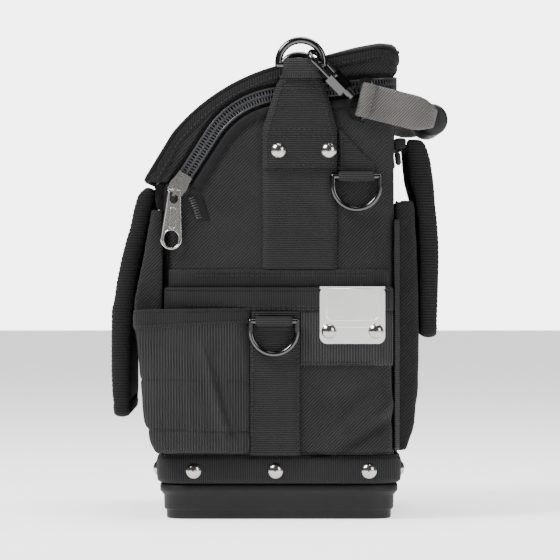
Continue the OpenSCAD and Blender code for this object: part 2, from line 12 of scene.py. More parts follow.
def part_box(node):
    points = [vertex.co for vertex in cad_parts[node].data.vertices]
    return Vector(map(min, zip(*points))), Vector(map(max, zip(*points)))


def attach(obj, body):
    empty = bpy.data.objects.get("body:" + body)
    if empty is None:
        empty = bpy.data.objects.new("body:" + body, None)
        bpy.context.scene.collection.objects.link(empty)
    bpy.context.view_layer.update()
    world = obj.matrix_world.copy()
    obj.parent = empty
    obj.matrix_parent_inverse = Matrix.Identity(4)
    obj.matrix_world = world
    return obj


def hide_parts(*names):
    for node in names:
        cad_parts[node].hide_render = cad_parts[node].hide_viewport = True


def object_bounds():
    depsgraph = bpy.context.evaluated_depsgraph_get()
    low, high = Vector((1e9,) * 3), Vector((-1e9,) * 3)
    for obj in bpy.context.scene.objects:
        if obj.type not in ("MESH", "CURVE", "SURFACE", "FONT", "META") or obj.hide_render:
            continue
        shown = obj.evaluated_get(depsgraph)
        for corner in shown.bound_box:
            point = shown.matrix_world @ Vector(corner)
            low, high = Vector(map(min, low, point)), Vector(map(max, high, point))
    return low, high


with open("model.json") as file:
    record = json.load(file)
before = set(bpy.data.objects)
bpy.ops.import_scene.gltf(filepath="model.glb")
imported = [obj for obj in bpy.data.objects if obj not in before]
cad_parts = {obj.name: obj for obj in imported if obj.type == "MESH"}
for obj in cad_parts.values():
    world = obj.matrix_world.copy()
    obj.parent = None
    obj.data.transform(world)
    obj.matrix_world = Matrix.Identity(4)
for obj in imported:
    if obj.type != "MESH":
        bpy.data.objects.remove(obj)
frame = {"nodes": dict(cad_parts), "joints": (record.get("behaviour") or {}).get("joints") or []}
CAD_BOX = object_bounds()
NODES = frame["nodes"]
MM = 0.001


# ---------------------------------------------------------------- places read from the frame


def low(node):
    """Lowest corner of a CAD node, in millimetres."""
    return np.array(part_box(node)[0]) / MM


def high(node):
    """Highest corner of a CAD node, in millimetres."""
    return np.array(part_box(node)[1]) / MM


def ends(node):
    """Lowest and highest corner of a CAD node."""
    return low(node), high(node)


class Probe:
    """Ray casts against CAD nodes, in millimetres."""

    def __init__(self, *names):
        verts = []
        faces = []
        for name in names:
            mesh = NODES[name].data
            start = len(verts)
            verts += [v.co / MM for v in mesh.vertices]
            faces += [[start + i for i in p.vertices] for p in mesh.polygons]
        self.tree = BVHTree.FromPolygons(verts, faces)

    def hit(self, origin, direction):
        place = self.tree.ray_cast(Vector(origin), Vector(direction))[0]
        return None if place is None else np.array(place)

    def down(self, x, y, z=400.0):
        place = self.hit((x, y, z), (0, 0, -1))
        return None if place is None else place[2]

    def up(self, x, y, z):
        place = self.hit((x, y, z), (0, 0, 1))
        return None if place is None else place[2]


HW = high("side_panel_right")[0]
PANEL_T = high("front_panel")[1] - low("front_panel")[1]
FRONT = -low("front_panel")[1]
REAR = high("rear_panel")[1]
CORNER = HW - high("front_panel")[0]
BASE_H = low("side_panel_right")[2]
HEM = low("lid_shell")[2]
SIDES = (("right", 1), ("left", -1))


# ---------------------------------------------------------------- materials


def new_material(name):
    material = bpy.data.materials.new(name)
    material.use_nodes = True
    return material, material.node_tree.nodes, material.node_tree.links


class Graph:
    """Short way to write a node tree of sums and products."""

    def __init__(self, name):
        self.material, self.nodes, self.links = new_material(name)
        self.shader = self.nodes["Principled BSDF"]
        self.place = self.nodes.new("ShaderNodeTexCoord")

    def math(self, kind, a, b=0.0, c=0.0):
        node = self.nodes.new("ShaderNodeMath")
        node.operation = kind
        for socket, value in zip(node.inputs, (a, b, c)):
            if isinstance(value, (int, float)):
                socket.default_value = value
            else:
                self.links.new(value, socket)
        return node.outputs[0]

    def split(self, vector):
        node = self.nodes.new("ShaderNodeSeparateXYZ")
        self.links.new(vector, node.inputs[0])
        return node.outputs

    def noise(self, scale, detail=2.0):
        node = self.nodes.new("ShaderNodeTexNoise")
        node.inputs["Scale"].default_value = scale
        node.inputs["Detail"].default_value = detail
        self.links.new(self.place.outputs["Object"], node.inputs["Vector"])
        return node.outputs["Fac"]

    def mix(self, fac, a, b):
        node = self.nodes.new("ShaderNodeMix")
        node.data_type = "RGBA"
        self.links.new(fac, node.inputs["Factor"])
        for socket, value in ((node.inputs["A"], a), (node.inputs["B"], b)):
            if isinstance(value, tuple):
                socket.default_value = (*value, 1.0)
            else:
                self.links.new(value, socket)
        return node.outputs["Result"]

    def bump(self, height, depth):
        node = self.nodes.new("ShaderNodeBump")
        node.inputs["Distance"].default_value = depth * MM
        node.inputs["Strength"].default_value = 1.0
        self.links.new(height, node.inputs["Height"])
        self.links.new(node.outputs[0], self.shader.inputs["Normal"])

    def put(self, **values):
        for key, value in values.items():
            socket = self.shader.inputs[key.replace("_", " ")]
            if isinstance(value, tuple):
                socket.default_value = (*value, 1.0) if len(value) == 3 else value
            elif isinstance(value, (int, float)):
                socket.default_value = value
            else:
                self.links.new(value, socket)

    def face_coords(self):
        """Two coordinates that lie in the face, picked from the way the face looks."""
        x, y, z = self.split(self.place.outputs["Object"])
        nx, ny, nz = (self.math("ABSOLUTE", n) for n in self.split(self.place.outputs["Normal"]))
        on_top = self.math("GREATER_THAN", nz, self.math("MAXIMUM", nx, ny))
        on_side = self.math("GREATER_THAN", nx, ny)
        u = self.choose(on_top, x, self.choose(on_side, y, x))
        v = self.choose(on_top, y, z)
        return u, v

    def choose(self, test, a, b):
        """a where test is 1 and b where it is 0."""
        other = self.math("MULTIPLY", b, self.math("SUBTRACT", 1.0, test))
        return self.math("ADD", self.math("MULTIPLY", a, test), other)

    def uv_coords(self):
        u, v, _ = self.split(self.place.outputs["UV"])
        return u, v

    def wave(self, coord, pitch):
        """Wave between 0 and 1 with the given pitch in millimetres."""
        turns = self.math("MULTIPLY", coord, 2 * math.pi / (pitch * MM))
        return self.math("MULTIPLY_ADD", self.math("SINE", turns), 0.5, 0.5)


def twill(name, dark, light, pitch=1.5, sheen=0.02, depth=0.35):
    """Heavy woven nylon: short threads that step sideways row by row."""
    g = Graph(name)
    u, v = g.face_coords()
    slant = g.wave(g.math("ADD", u, v), pitch)
    back = g.wave(g.math("SUBTRACT", u, v), pitch * 1.6)
    weave = g.math("POWER", g.math("MULTIPLY", slant, back), 1.3)
    thread = g.math("MULTIPLY_ADD", g.wave(v, pitch * 0.5), 0.35, weave)
    tone = g.math("MULTIPLY_ADD", g.noise(24.0, 3.0), 0.3, g.math("MULTIPLY", weave, 0.9))
    g.put(Base_Color=g.mix(tone, dark, light))
    g.put(Roughness=g.math("MULTIPLY_ADD", g.noise(60.0), 0.14, 0.55))
    g.put(Sheen_Weight=sheen, Sheen_Roughness=0.45, Specular_IOR_Level=0.08)
    g.bump(thread, depth)
    return g.material


def webbing(name, dark, light, rib=2.2, cross=1.1, depth=0.3, turned=False, uv=False):
    """Woven strap with ribs; the ribs run along the first coordinate unless turned."""
    g = Graph(name)
    u, v = g.uv_coords() if uv else g.face_coords()
    if turned:
        u, v = v, u
    ribs = g.math("POWER", g.wave(v, rib), 1.6)
    row = g.math("FLOOR", g.math("DIVIDE", v, rib * MM))
    dots = g.wave(g.math("MULTIPLY_ADD", row, cross * 0.5 * MM, u), cross)
    weave = g.math("MULTIPLY_ADD", dots, 0.45, g.math("MULTIPLY", ribs, 0.8))
    tone = g.math("MULTIPLY_ADD", g.noise(30.0, 3.0), 0.25, g.math("MULTIPLY", weave, 0.75))
    g.put(Base_Color=g.mix(tone, dark, light))
    g.put(Roughness=g.math("MULTIPLY_ADD", g.noise(70.0), 0.12, 0.55))
    g.put(Sheen_Weight=0.02, Sheen_Roughness=0.5, Specular_IOR_Level=0.08)
    g.bump(weave, depth)
    return g.material


def metal(name, colour, rough):
    """Plated metal with fine polishing marks and a little wear."""
    g = Graph(name)
    worn = tuple(c * 0.8 for c in colour)
    g.put(Base_Color=g.mix(g.noise(45.0, 4.0), worn, colour), Metallic=1.0)
    g.put(Roughness=g.math("MULTIPLY_ADD", g.noise(220.0, 3.0), 0.08, rough - 0.04))
    g.bump(g.noise(900.0, 2.0), 0.02)
    return g.material


def moulded(name, dark, light, rough=0.45, grain=700.0, depth=0.05):
    """Moulded plastic or rubber with a spark-eroded grain."""
    g = Graph(name)
    g.put(Base_Color=g.mix(g.noise(18.0, 3.0), dark, light))
    g.put(Roughness=g.math("MULTIPLY_ADD", g.noise(90.0), 0.14, rough - 0.07))
    g.put(Specular_IOR_Level=0.22)
    g.bump(g.noise(grain, 3.0), depth)
    return g.material


def fuzzy(name, dark, light):
    """Loop tape: deep, soft and uneven."""
    g = Graph(name)
    fluff = g.noise(900.0, 4.0)
    g.put(Base_Color=g.mix(fluff, dark, light), Roughness=0.95)
    g.put(Sheen_Weight=0.35, Sheen_Roughness=0.6, Specular_IOR_Level=0.1)
    g.bump(fluff, 0.8)
    return g.material


BLACK = (0.0004, 0.0004, 0.0005)
SOOT = (0.050, 0.049, 0.049)
GAP = (0.0003, 0.0003, 0.0004)
TWILL = twill("twill", BLACK, SOOT)
LID_CLOTH = twill("lid_cloth", (0.006, 0.006, 0.0075), (0.024, 0.023, 0.028), 1.1, 0.06, 0.1)
PIPING = twill("piping_cloth", (0.004, 0.004, 0.0045), (0.016, 0.016, 0.017), 1.0, depth=0.08)
STRAP = webbing("strap_webbing", GAP, (0.034, 0.034, 0.035), 1.5, 1.2)
TAPE = webbing("edge_tape", GAP, (0.024, 0.024, 0.025), 1.5, 0.8, 0.18, turned=True)
UV_TAPE = webbing("bound_edge", (0.0006, 0.0006, 0.0008), (0.016, 0.016, 0.017), 1.9, 0.9,
                  turned=True, uv=True)
ZIP_TAPE = webbing("zip_cloth", (0.003, 0.003, 0.003), (0.010, 0.010, 0.010), 0.9, 0.9, 0.1)
POCKET_WEB = webbing("pocket_webbing", GAP, (0.040, 0.040, 0.041), 1.9, 1.0, turned=True)
# The handle strap's light grey is painted highlight: black webbing coloured as light as its upper face looks
# under light from above.
PAINTED_HIGHLIGHT_WEB = twill("grey_webbing", (0.022, 0.021, 0.020), (0.22, 0.21, 0.20), 1.3, depth=0.25)
NICKEL = metal("nickel", (0.42, 0.405, 0.385), 0.2)
BRIGHT = metal("bright_plate", (0.95, 0.93, 0.91), 0.34)
GUNMETAL = metal("gunmetal", (0.075, 0.075, 0.077), 0.17)
PLASTIC = moulded("base_plastic", (0.003, 0.003, 0.0034), (0.006, 0.006, 0.0066), 0.55)
RUBBER = moulded("grip_rubber", (0.006, 0.006, 0.0065), (0.012, 0.012, 0.013), 0.5, 500.0, 0.08)
COIL = moulded("zip_coil", (0.012, 0.012, 0.014), (0.035, 0.035, 0.038), 0.25, 300.0, 0.01)
BOARD = moulded("board", (0.01, 0.01, 0.011), (0.02, 0.02, 0.021), 0.6)
# Black loop tape, darker than the cloth round it: partly the tape's own black and partly painted shade of the
# front flap over the front pocket's side.
LOOPS_AND_SHADE = fuzzy("loop_tape_and_painted_shade", (0.002, 0.002, 0.002), (0.010, 0.010, 0.010))
THREAD = moulded("thread", (0.006, 0.006, 0.0065), (0.022, 0.022, 0.023), 0.5, 1200.0)


# ---------------------------------------------------------------- mesh building


def add_piece(name, mesh_parts, material, replaces=(), body="bag", smooth=True):
    """Makes a piece from points in mm, faces and perhaps face coordinates, and lets it ride on a body."""
    verts, faces, *uvs = mesh_parts
    mesh = bpy.data.meshes.new(name)
    mesh.from_pydata((np.asarray(verts, float) * MM).tolist(), [], [list(f) for f in faces])
    mesh.validate()
    if uvs:
        layer = mesh.uv_layers.new(name="UVMap")
        loops = np.zeros(len(mesh.loops), np.int64)
        mesh.loops.foreach_get("vertex_index", loops)
        layer.data.foreach_set("uv", (np.asarray(uvs[0], float)[loops] * MM).ravel())
    mesh.polygons.foreach_set("use_smooth", [smooth] * len(mesh.polygons))
    piece = bpy.data.objects.new(name, mesh)
    bpy.context.scene.collection.objects.link(piece)
    finish_piece(piece, material, replaces, body)


def finish_piece(piece, material, replaces=(), body="bag"):
    piece.data.materials.clear()
    piece.data.materials.append(material)
    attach(piece, body)
    if replaces:
        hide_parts(*replaces)


def mirror(verts, faces):
    """The same mesh on the other side of the bag."""
    return np.asarray(verts, float) * (-1, 1, 1), [tuple(reversed(f)) for f in faces]


def join(parts):
    """One list of points and faces from several."""
    verts = []
    faces = []
    start = 0
    for v, f in parts:
        verts.append(np.asarray(v, float))
        faces += [tuple(start + i for i in face) for face in f]
        start += len(v)
    return np.concatenate(verts), faces


def both(parts):
    """Parts of the right side together with their mirror images."""
    right = join(parts)
    return join([right, mirror(*right)])


def add_side(node, ending, side, parts, material, own_node=True):
    """A piece of the right side, mirrored when side says left."""
    right = join(parts)
    name = f"{node}_{side}"
    mesh_parts = right if side == "right" else mirror(*right)
    add_piece(f"{name}_{ending}", mesh_parts, material, (name,) if own_node else ())


def surface(x, y, z):
    """Grid of points from three arrays that spread over the same grid."""
    return np.stack(np.broadcast_arrays(x, y, z), axis=-1)


def lengths_along(points):
    """Distance from the first of a line of points to each of them."""
    return np.concatenate([[0], np.cumsum(np.linalg.norm(np.diff(points, axis=0), axis=1))])


def directions(points):
    """Unit directions along a line of points."""
    t = np.gradient(points, axis=0)
    return t / np.linalg.norm(t, axis=1, keepdims=True)


def skin(rings, sides):
    """Faces of a closed solid through rings of points, capped at both ends."""
    faces = []
    for i in range(rings - 1):
        for k in range(sides):
            m = (k + 1) % sides
            faces.append((i * sides + k, i * sides + m, (i + 1) * sides + m, (i + 1) * sides + k))
    faces.append(tuple(range(sides))[::-1])
    faces.append(tuple((rings - 1) * sides + k for k in range(sides)))
    return faces


def grid_normals(p):
    """Unit normals of a grid of points, from the way its rows and columns run."""
    du = np.gradient(p, axis=0)
    dv = np.gradient(p, axis=1)
    n = np.cross(du, dv)
    return n / np.maximum(np.linalg.norm(n, axis=2, keepdims=True), 1e-9)


def cloth_sheet(p, t, lift=None, flip=False, soft=0.45):
    """Closed thick sheet under a grid of outer points, with softened edges.

    lift moves the outer face along its normal. Returns points, faces and face coordinates in mm."""
    n = grid_normals(p) * (-1 if flip else 1)
    outer = p if lift is None else p + n * lift[..., None]
    edge = np.zeros(p.shape[:2])
    edge[0, :] = edge[-1, :] = 1
    edge[:, 0] = edge[:, -1] = 1
    outer = outer - n * (edge * t * soft)[..., None]
    inner = p - n * t + n * (edge * t * soft * 0.6)[..., None]
    a, b = p.shape[:2]
    index = np.arange(a * b).reshape(a, b)
    corners = [index[:-1, :-1], index[1:, :-1], index[1:, 1:], index[:-1, 1:]]
    quads = np.stack(corners, axis=-1).reshape(-1, 4)
    if flip:
        quads = quads[:, ::-1]
    faces = quads.tolist() + (quads[:, ::-1] + a * b).tolist()
    rim = [*index[:, 0], *index[-1, 1:], *index[-2::-1, -1], *index[0, -2:0:-1]]
    for i, j in zip(rim, rim[1:] + rim[:1]):
        quad = (i, j, j + a * b, i + a * b)
        faces.append(quad if flip else quad[::-1])
    spans = np.meshgrid(lengths_along(p[:, b // 2]), lengths_along(p[a // 2]), indexing="ij")
    uv = np.stack(spans, axis=-1).reshape(-1, 2)
    verts = np.concatenate([outer.reshape(-1, 3), inner.reshape(-1, 3)])
    return verts, faces, np.concatenate([uv, uv])


def sheet(p, t, lift=None, flip=False, soft=0.45):
    """A cloth sheet's points and faces alone."""
    return cloth_sheet(p, t, lift, flip, soft)[:2]


def grid(nu, nv):
    return np.meshgrid(np.linspace(0, 1, nu + 1), np.linspace(0, 1, nv + 1), indexing="ij")


def ripple(a, b, seed, size):
    """Smooth uneven waves between about -1 and 1, the same on every run."""
    total = np.zeros(np.shape(a))
    for k in range(1, 5):
        turn = seed * 1.7 + k * 2.4
        wave = size / (0.6 + 0.55 * k)
        total = total + np.sin((a * math.cos(turn) + b * math.sin(turn)) * 2 * math.pi / wave + seed * k) / k
    return total / 2.1


def ridge(a, b, start, end, width, height):
    """A fold along a line, highest on the line and fading at its ends."""
    reach = np.subtract(end, start)
    length = np.linalg.norm(reach)
    ca, cb = reach / length
    s = (a - start[0]) * ca + (b - start[1]) * cb
    off = (b - start[1]) * ca - (a - start[0]) * cb
    fade = np.clip(np.minimum(s, length - s) / (0.3 * length), 0, 1)
    return height * np.exp(-((off / width) ** 2)) * fade * fade * (3 - 2 * fade)


def edge_fade(u, v, reach_u, reach_v):
    """0 at the edges of a unit grid and 1 beyond the given reaches."""
    fu = np.clip(np.minimum(u, 1 - u) / reach_u, 0, 1)
    fv = np.clip(np.minimum(v, 1 - v) / reach_v, 0, 1)
    return np.sqrt(fu * (2 - fu) * fv * (2 - fv))


def along(points, step):
    """Points spaced evenly along a line of points."""
    points = np.asarray(points, float)
    reach = lengths_along(points)
    count = max(2, int(round(reach[-1] / step)) + 1)
    at = np.linspace(0, reach[-1], count)
    return np.stack([np.interp(at, reach, points[:, k]) for k in range(points.shape[1])], axis=1)


def tube(points, r, sides=8):
    """Round cord through a line of points."""
    p = np.asarray(points, float)
    t = directions(p)
    ref = (0.13, 0.27, 0.95) if abs(t[:, 2]).mean() < 0.8 else (0.95, 0.2, 0.1)
    a = np.cross(t, ref)
    a /= np.linalg.norm(a, axis=1, keepdims=True)
    b = np.cross(t, a)
    radius = np.full((len(p), 1), float(r))
    radius[[0, -1]] *= 0.55
    turns = np.arange(sides) * 2 * math.pi / sides
    rings = [p + (a * math.cos(q) + b * math.sin(q)) * radius for q in turns]
    return np.stack(rings, axis=1).reshape(-1, 3), skin(len(p), sides)


def bead(centre, axis, up, half, r, flat=0.8):
    """Short rounded bar, such as one stitch or one turn of the zip."""
    axis = axis / np.linalg.norm(axis)
    side = np.cross(axis, up)
    side /= np.linalg.norm(side)
    rise = np.cross(side, axis) * flat
    verts = []
    stations = [(-1.0, 0.35), (-0.72, 0.9), (0.72, 0.9), (1.0, 0.35)]
    for s, w in stations:
        for q in range(6):
            turn = q * math.pi / 3
            spoke = side * math.cos(turn) + rise * math.sin(turn)
            verts.append(centre + axis * s * half + spoke * r * w)
    return np.array(verts), skin(len(stations), 6)


STITCH = 3.4


def stitches(line, up):
    """A row of thread stitches along a line, lying on a face that looks along up."""
    p = along(line, STITCH)
    up = np.asarray(up, float)
    return [bead((a + b) / 2, b - a, up, 0.36 * np.linalg.norm(b - a), 0.42) for a, b in zip(p[:-1], p[1:])]


def turning_stitches(row, ups):
    """Stitches along a row of points, each lying on a face that looks its own way."""
    line = along(np.concatenate([row, ups], axis=1), STITCH)
    return [bead((a[:3] + b[:3]) / 2, b[:3] - a[:3], a[3:], 1.2, 0.4) for a, b in zip(line[:-1], line[1:])]


def side_row(x, *corners):
    """Stitches on the right side at height x, through corners given as (y, z)."""
    parts = []
    for a, b in zip(corners[:-1], corners[1:]):
        parts += stitches([(x, *a), (x, *b)], (1, 0, 0))
    return parts


def sew(name, parts):
    """Adds a row of stitches on both sides of the bag."""
    add_piece(name, both(parts), THREAD)


# ---------------------------------------------------------------- soft copies and cloth


def bake(piece):
    """Applies a piece's modifiers to its mesh."""
    depsgraph = bpy.context.evaluated_depsgraph_get()
    mesh = bpy.data.meshes.new_from_object(piece.evaluated_get(depsgraph))
    piece.modifiers.clear()
    piece.data = mesh


def points_of(piece):
    co = np.zeros(len(piece.data.vertices) * 3)
    piece.data.vertices.foreach_get("co", co)
    return co.reshape(-1, 3) / MM


def set_points(piece, points):
    piece.data.vertices.foreach_set("co", (points * MM).ravel())
    piece.data.update()


def normals_of(piece):
    n = np.zeros(len(piece.data.vertices) * 3)
    piece.data.vertices.foreach_get("normal", n)
    return n.reshape(-1, 3)


def remeshed(node, name, voxel, rounding=2):
    """An even, softened copy of a CAD node's mesh."""
    piece = bpy.data.objects.new(name, NODES[node].data.copy())
    bpy.context.scene.collection.objects.link(piece)
    grid_step = piece.modifiers.new("grid", "REMESH")
    grid_step.mode = "VOXEL"
    grid_step.voxel_size = voxel * MM
    if rounding:
        soften = piece.modifiers.new("soften", "SMOOTH")
        soften.iterations = rounding
        soften.factor = 0.6
    bake(piece)
    return piece


def swell(piece, pressure, cap, shrink):
    """Pads a piece with cloth under pressure, never moving a point further than cap."""
    start = points_of(piece)
    smaller = start - normals_of(piece) * shrink
    set_points(piece, smaller)
    cloth = piece.modifiers.new("pad", "CLOTH")
    cloth.settings.quality = 4
    cloth.settings.use_pressure = True
    cloth.settings.uniform_pressure_force = pressure
    cloth.settings.effector_weights.gravity = 0
    for step in range(1, 21):
        bpy.context.scene.frame_set(step)
    bake(piece)
    move = points_of(piece) - smaller
    reach = np.linalg.norm(move, axis=1, keepdims=True)
    set_points(piece, smaller + move * np.minimum(1, cap / np.maximum(reach, 1e-9)))
    bpy.context.scene.frame_set(1)


def slacken(piece, slack):
    """Moves points along their normals and shades the piece smooth."""
    set_points(piece, points_of(piece) + normals_of(piece) * slack[:, None])
    piece.data.polygons.foreach_set("use_smooth", [True] * len(piece.data.polygons))


def soft_node(node, voxel, material, body="bag", seed=1, wrinkle=0.35, rounding=2):
    """Cloth version of a CAD node that keeps its shape, with slack in its faces."""
    piece = remeshed(node, node + "_cloth", voxel, rounding)
    x, y, z = points_of(piece).T
    slacken(piece, wrinkle * ripple(x + y, z, seed, 46))
    finish_piece(piece, material, (node,), body)


def padded_flap(node, seed):
    """Padded cloth version of a flap."""
    piece = remeshed(node, node + "_pad", 4.5, 1)
    swell(piece, pressure=4.0, cap=2.2, shrink=1.3)
    modifier = piece.modifiers.new("round", "SUBSURF")
    modifier.levels = modifier.render_levels = 1
    bake(piece)
    x, _, z = points_of(piece).T
    slacken(piece, 0.5 * ripple(x, z, seed, 75))
    finish_piece(piece, TWILL, (node,), node)


padded_flap("front_flap", 3)
padded_flap("rear_flap", 5)


# ---------------------------------------------------------------- plan lines


def corner_rail(reach, x, y0, y1, radius, off=0.0):
    """Places along the right side, from the front wall round both corners to the rear wall.

    reach is 0 at the start of the front corner and 1 at the end of the rear corner."""
    quarter = math.pi / 2 * radius
    side = y1 - y0 - 2 * radius
    s = np.asarray(reach, float) * (side + 2 * quarter)
    front = np.clip(s / radius, 0, math.pi / 2)
    back = np.clip((s - quarter - side) / radius, 0, math.pi / 2)
    nx = np.where(s < quarter + side, np.sin(front), np.cos(back))
    ny = np.where(s < quarter + side, -np.cos(front), np.sin(back))
    cy = np.clip(y0 + radius + s - quarter, y0 + radius, y1 - radius)
    return x - radius + (radius + off) * nx, cy + (radius + off) * ny, nx, ny


def body_rail(reach, off=0.0):
    return corner_rail(reach, HW, -FRONT, REAR, CORNER, off)


def plan_ring(inset):
    """Closed ring round the bag's plan, inset from the panels."""
    x, y, _, _ = body_rail(np.linspace(0, 1, 46), -inset)
    right = np.stack([x, y], axis=1)
    wall = np.linspace(-1, 1, 8)[1:-1]
    front = np.column_stack([wall * x[0], np.full(6, y[0])])
    rear = np.column_stack([-wall * x[-1], np.full(6, y[-1])])
    return np.concatenate([right, rear, right[::-1] * (-1, 1), front])


def loft(rings):
    """Closed solid through closed rings of points, capped at both ends."""
    return np.concatenate(rings), skin(len(rings), len(rings[0]))


# ---------------------------------------------------------------- base


def base():
    top = high("base_tray")[2]
    rim = high("base_tray")[0] - HW
    lip = PANEL_T + 2.5
    foot = [(10.0, 0.9), (9.1, 0.0), (3.8, 0.0), (2.9, 0.4), (2.6, 1.2), (2.5, 5.4), (2.3, 6.0)]
    recess = [(1.5, 6.3), (1.1, 6.8), (0.9, 7.8), (0.6, 15.8), (0.3, 16.6), (-0.4, 17.0), (-0.6, 17.7)]
    edge = [(-1.2, 18.1), (-rim * 0.9, 18.6), (-rim, 19.4), (-rim, BASE_H - 1.2),
            (-rim * 0.6, BASE_H - 0.3), (0.6, BASE_H)]
    inside = [(PANEL_T, BASE_H), (PANEL_T, top), (lip, top), (lip, 9), (7, 9), (7, 3)]
    rings = []
    for inset, z in foot + recess + edge + inside:
        x, y = plan_ring(inset).T
        rings.append(surface(x, y, z))
    add_piece("base_tray_moulding", loft(rings), PLASTIC, ("base_tray",))


def bottom_band():
    """Band all round the foot of the bag, made as a right half and its mirror image."""
    lo, hi = ends("bottom_band")
    outset = hi[0] - HW
    step = 2.5
    x, y, _, _ = body_rail(np.linspace(0, 1, int(190 / step) + 1), outset - 0.2)
    wall = np.arange(0, x[0] - step * 0.5, step)
    line_x = np.concatenate([wall, x, wall[::-1]])
    line_y = np.concatenate([np.full(len(wall), y[0]), y, np.full(len(wall), y[-1])])
    p = surface(line_x[:, None], line_y[:, None], np.linspace(lo[2], hi[2] + 0.6, 13))
    v = (p[..., 2] - lo[2]) / (hi[2] - lo[2])
    slack = 0.35 * ripple(p[..., 0] + p[..., 1], p[..., 2], 4, 60) - np.abs(2 * v - 1) ** 5
    add_piece("bottom_band_webbing", both([sheet(p, outset - 0.4, slack)]), TAPE, ("bottom_band",))


# ---------------------------------------------------------------- body panels


def side_panels():
    probe = Probe("side_panel_right")
    u, v = grid(84, 70)
    x, y, nx, ny = body_rail(u[:, 0])
    middle = zip(x - nx * PANEL_T / 2, y - ny * PANEL_T / 2)
    tops = np.array([probe.down(px, py) or HEM for px, py in middle])
    p = surface(x[:, None], y[:, None], BASE_H + (tops[:, None] - BASE_H) * v)
    fade = edge_fade(u, v, 0.12, 0.06)
    for side, sign in SIDES:
        lift = -0.9 * (1 - fade) + 0.35 * fade * ripple(p[..., 1], p[..., 2], 2 + sign, 70)
        lift += ridge(p[..., 1], p[..., 2], (62, 190), (46, 162), 7, 0.5)
        add_side("side_panel", "cloth", side, [sheet(p, PANEL_T, lift)], TWILL)


def end_panels():
    for node, y, way in (("front_panel", -FRONT, -1), ("rear_panel", REAR, 1)):
        u, v = grid(50, 60)
        x = (HW - CORNER) * (2 * u - 1) * -way
        p = surface(x, y, BASE_H + (high(node)[2] - BASE_H) * v)
        fade = edge_fade(u, v, 0.08, 0.06)
        lift = -0.8 * (1 - fade) + 0.4 * fade * (ripple(p[..., 0], p[..., 2], 6 + way, 90) - 0.6)
        add_piece(node + "_cloth", sheet(p, PANEL_T, lift), TWILL, (node,))


# ---------------------------------------------------------------- zip


REAR_STRAIGHT = HW - CORNER
REAR_QUARTER = math.pi / 2 * CORNER
SIDE_Y = REAR - CORNER
ZIP_X = HW - PANEL_T / 2


def rear_push(y):
    """How far the lid and the zip stand out past the rear panel, at a depth y."""
    return 2.2 * np.clip((y - SIDE_Y + 20) / (REAR - SIDE_Y + 20), 0, 1)


def rear_rail(s, off):
    """Place on the lid's plan line, s mm from the middle of the rear wall and positive to the right."""
    reach = np.abs(s)
    turn = np.clip((reach - REAR_STRAIGHT) / CORNER, 0, math.pi / 2)
    run = np.maximum(reach - REAR_STRAIGHT - REAR_QUARTER, 0)
    x = np.where(reach <= REAR_STRAIGHT, reach, REAR_STRAIGHT + (CORNER + off) * np.sin(turn))
    y = SIDE_Y + (CORNER + off) * np.cos(turn) - run
    return np.where(s < 0, -x, x), y + rear_push(y)


def rail_of(y):
    """Distance along the plan line from the middle of the rear to a depth y on the right side."""
    turn = np.arccos(np.clip((y - SIDE_Y) / CORNER, 0, 1))
    return REAR_STRAIGHT + CORNER * turn + np.maximum(SIDE_Y - y, 0)


def extended(y, sampled_y, sampled_z):
    """Sampled heights, carried on in a straight line past the last sample."""
    slope = (sampled_z[-1] - sampled_z[-9]) / (sampled_y[-1] - sampled_y[-9])
    beyond = sampled_z[-1] + slope * (y - sampled_y[-1])
    return np.where(y > sampled_y[-1], beyond, np.interp(y, sampled_y, sampled_z))


def zip_path():
    """The line where the two halves of the zip meet, as (distance along the plan, height)."""
    body_coil = Probe("body_zip_coil")
    lid_coil = Probe("lid_zip_coil")
    start = low("lid_zip_coil")[2] - 30
    samples = []
    for y in np.arange(-67.6, SIDE_Y - 1, 1.0):
        below = body_coil.down(ZIP_X, y)
        above = lid_coil.up(ZIP_X, y, start)
        if below is not None and above is not None:
            samples.append((y, (below + above) / 2))
    ys, zs = np.array(samples).T
    y = np.concatenate([ys, np.linspace(SIDE_Y, REAR, 12)])
    s = rail_of(y)
    z = extended(y, ys, zs)
    right = np.column_stack([np.append(s, 0.0), np.append(z, z[-1])])
    left = right[::-1][1:] * (-1, 1)
    return along(np.concatenate([right, left]), 1.0)


ZIP = zip_path()


def beside_zip(path, d, off):
    """Points d mm towards the lid from the zip's line, standing off the plan line."""
    t = directions(path)
    x, y = rear_rail(path[:, 0] + d * t[:, 1], off)
    return np.stack([x, y, path[:, 1] - d * t[:, 0]], axis=1)


def zip_ribbon(name, d0, d1, off, t, material, body, replaces=(), swell_by=0.0):
    """Cloth beside the zip, from d0 to d1 mm towards the lid."""
    path = along(ZIP, 2.5)
    p = np.stack([beside_zip(path, d, off) for d in np.linspace(d0, d1, 5)], axis=1)
    bulge = swell_by * np.sin(np.pi * np.linspace(0, 1, 5))[None, :]
    add_piece(name, cloth_sheet(p, t, bulge), material, replaces, body)


def zip_teeth(name, side, body, node):
    """One half of the coil: a row of loops that reach across the zip's line."""
    pitch = 2.1
    path = along(ZIP, pitch / 4)
    inner = beside_zip(path, side * -1.1, -1.5)
    outer = beside_zip(path, side * 4.6, -1.5)
    ahead = np.gradient(inner, axis=0)
    parts = []
    for i in range(4 if side > 0 else 6, len(path) - 4, 4):
        axis = outer[i] - inner[i]
        out = np.cross(ahead[i], axis) * side
        parts.append(bead((inner[i] + outer[i]) / 2, axis, out, np.linalg.norm(axis) / 2, 0.88, 1.25))
    spine = beside_zip(along(ZIP, 3), side * 4.2, -1.3)
    parts.append(tube(spine, 0.9, 6))
    add_piece(name, join(parts), COIL, (node,), body)


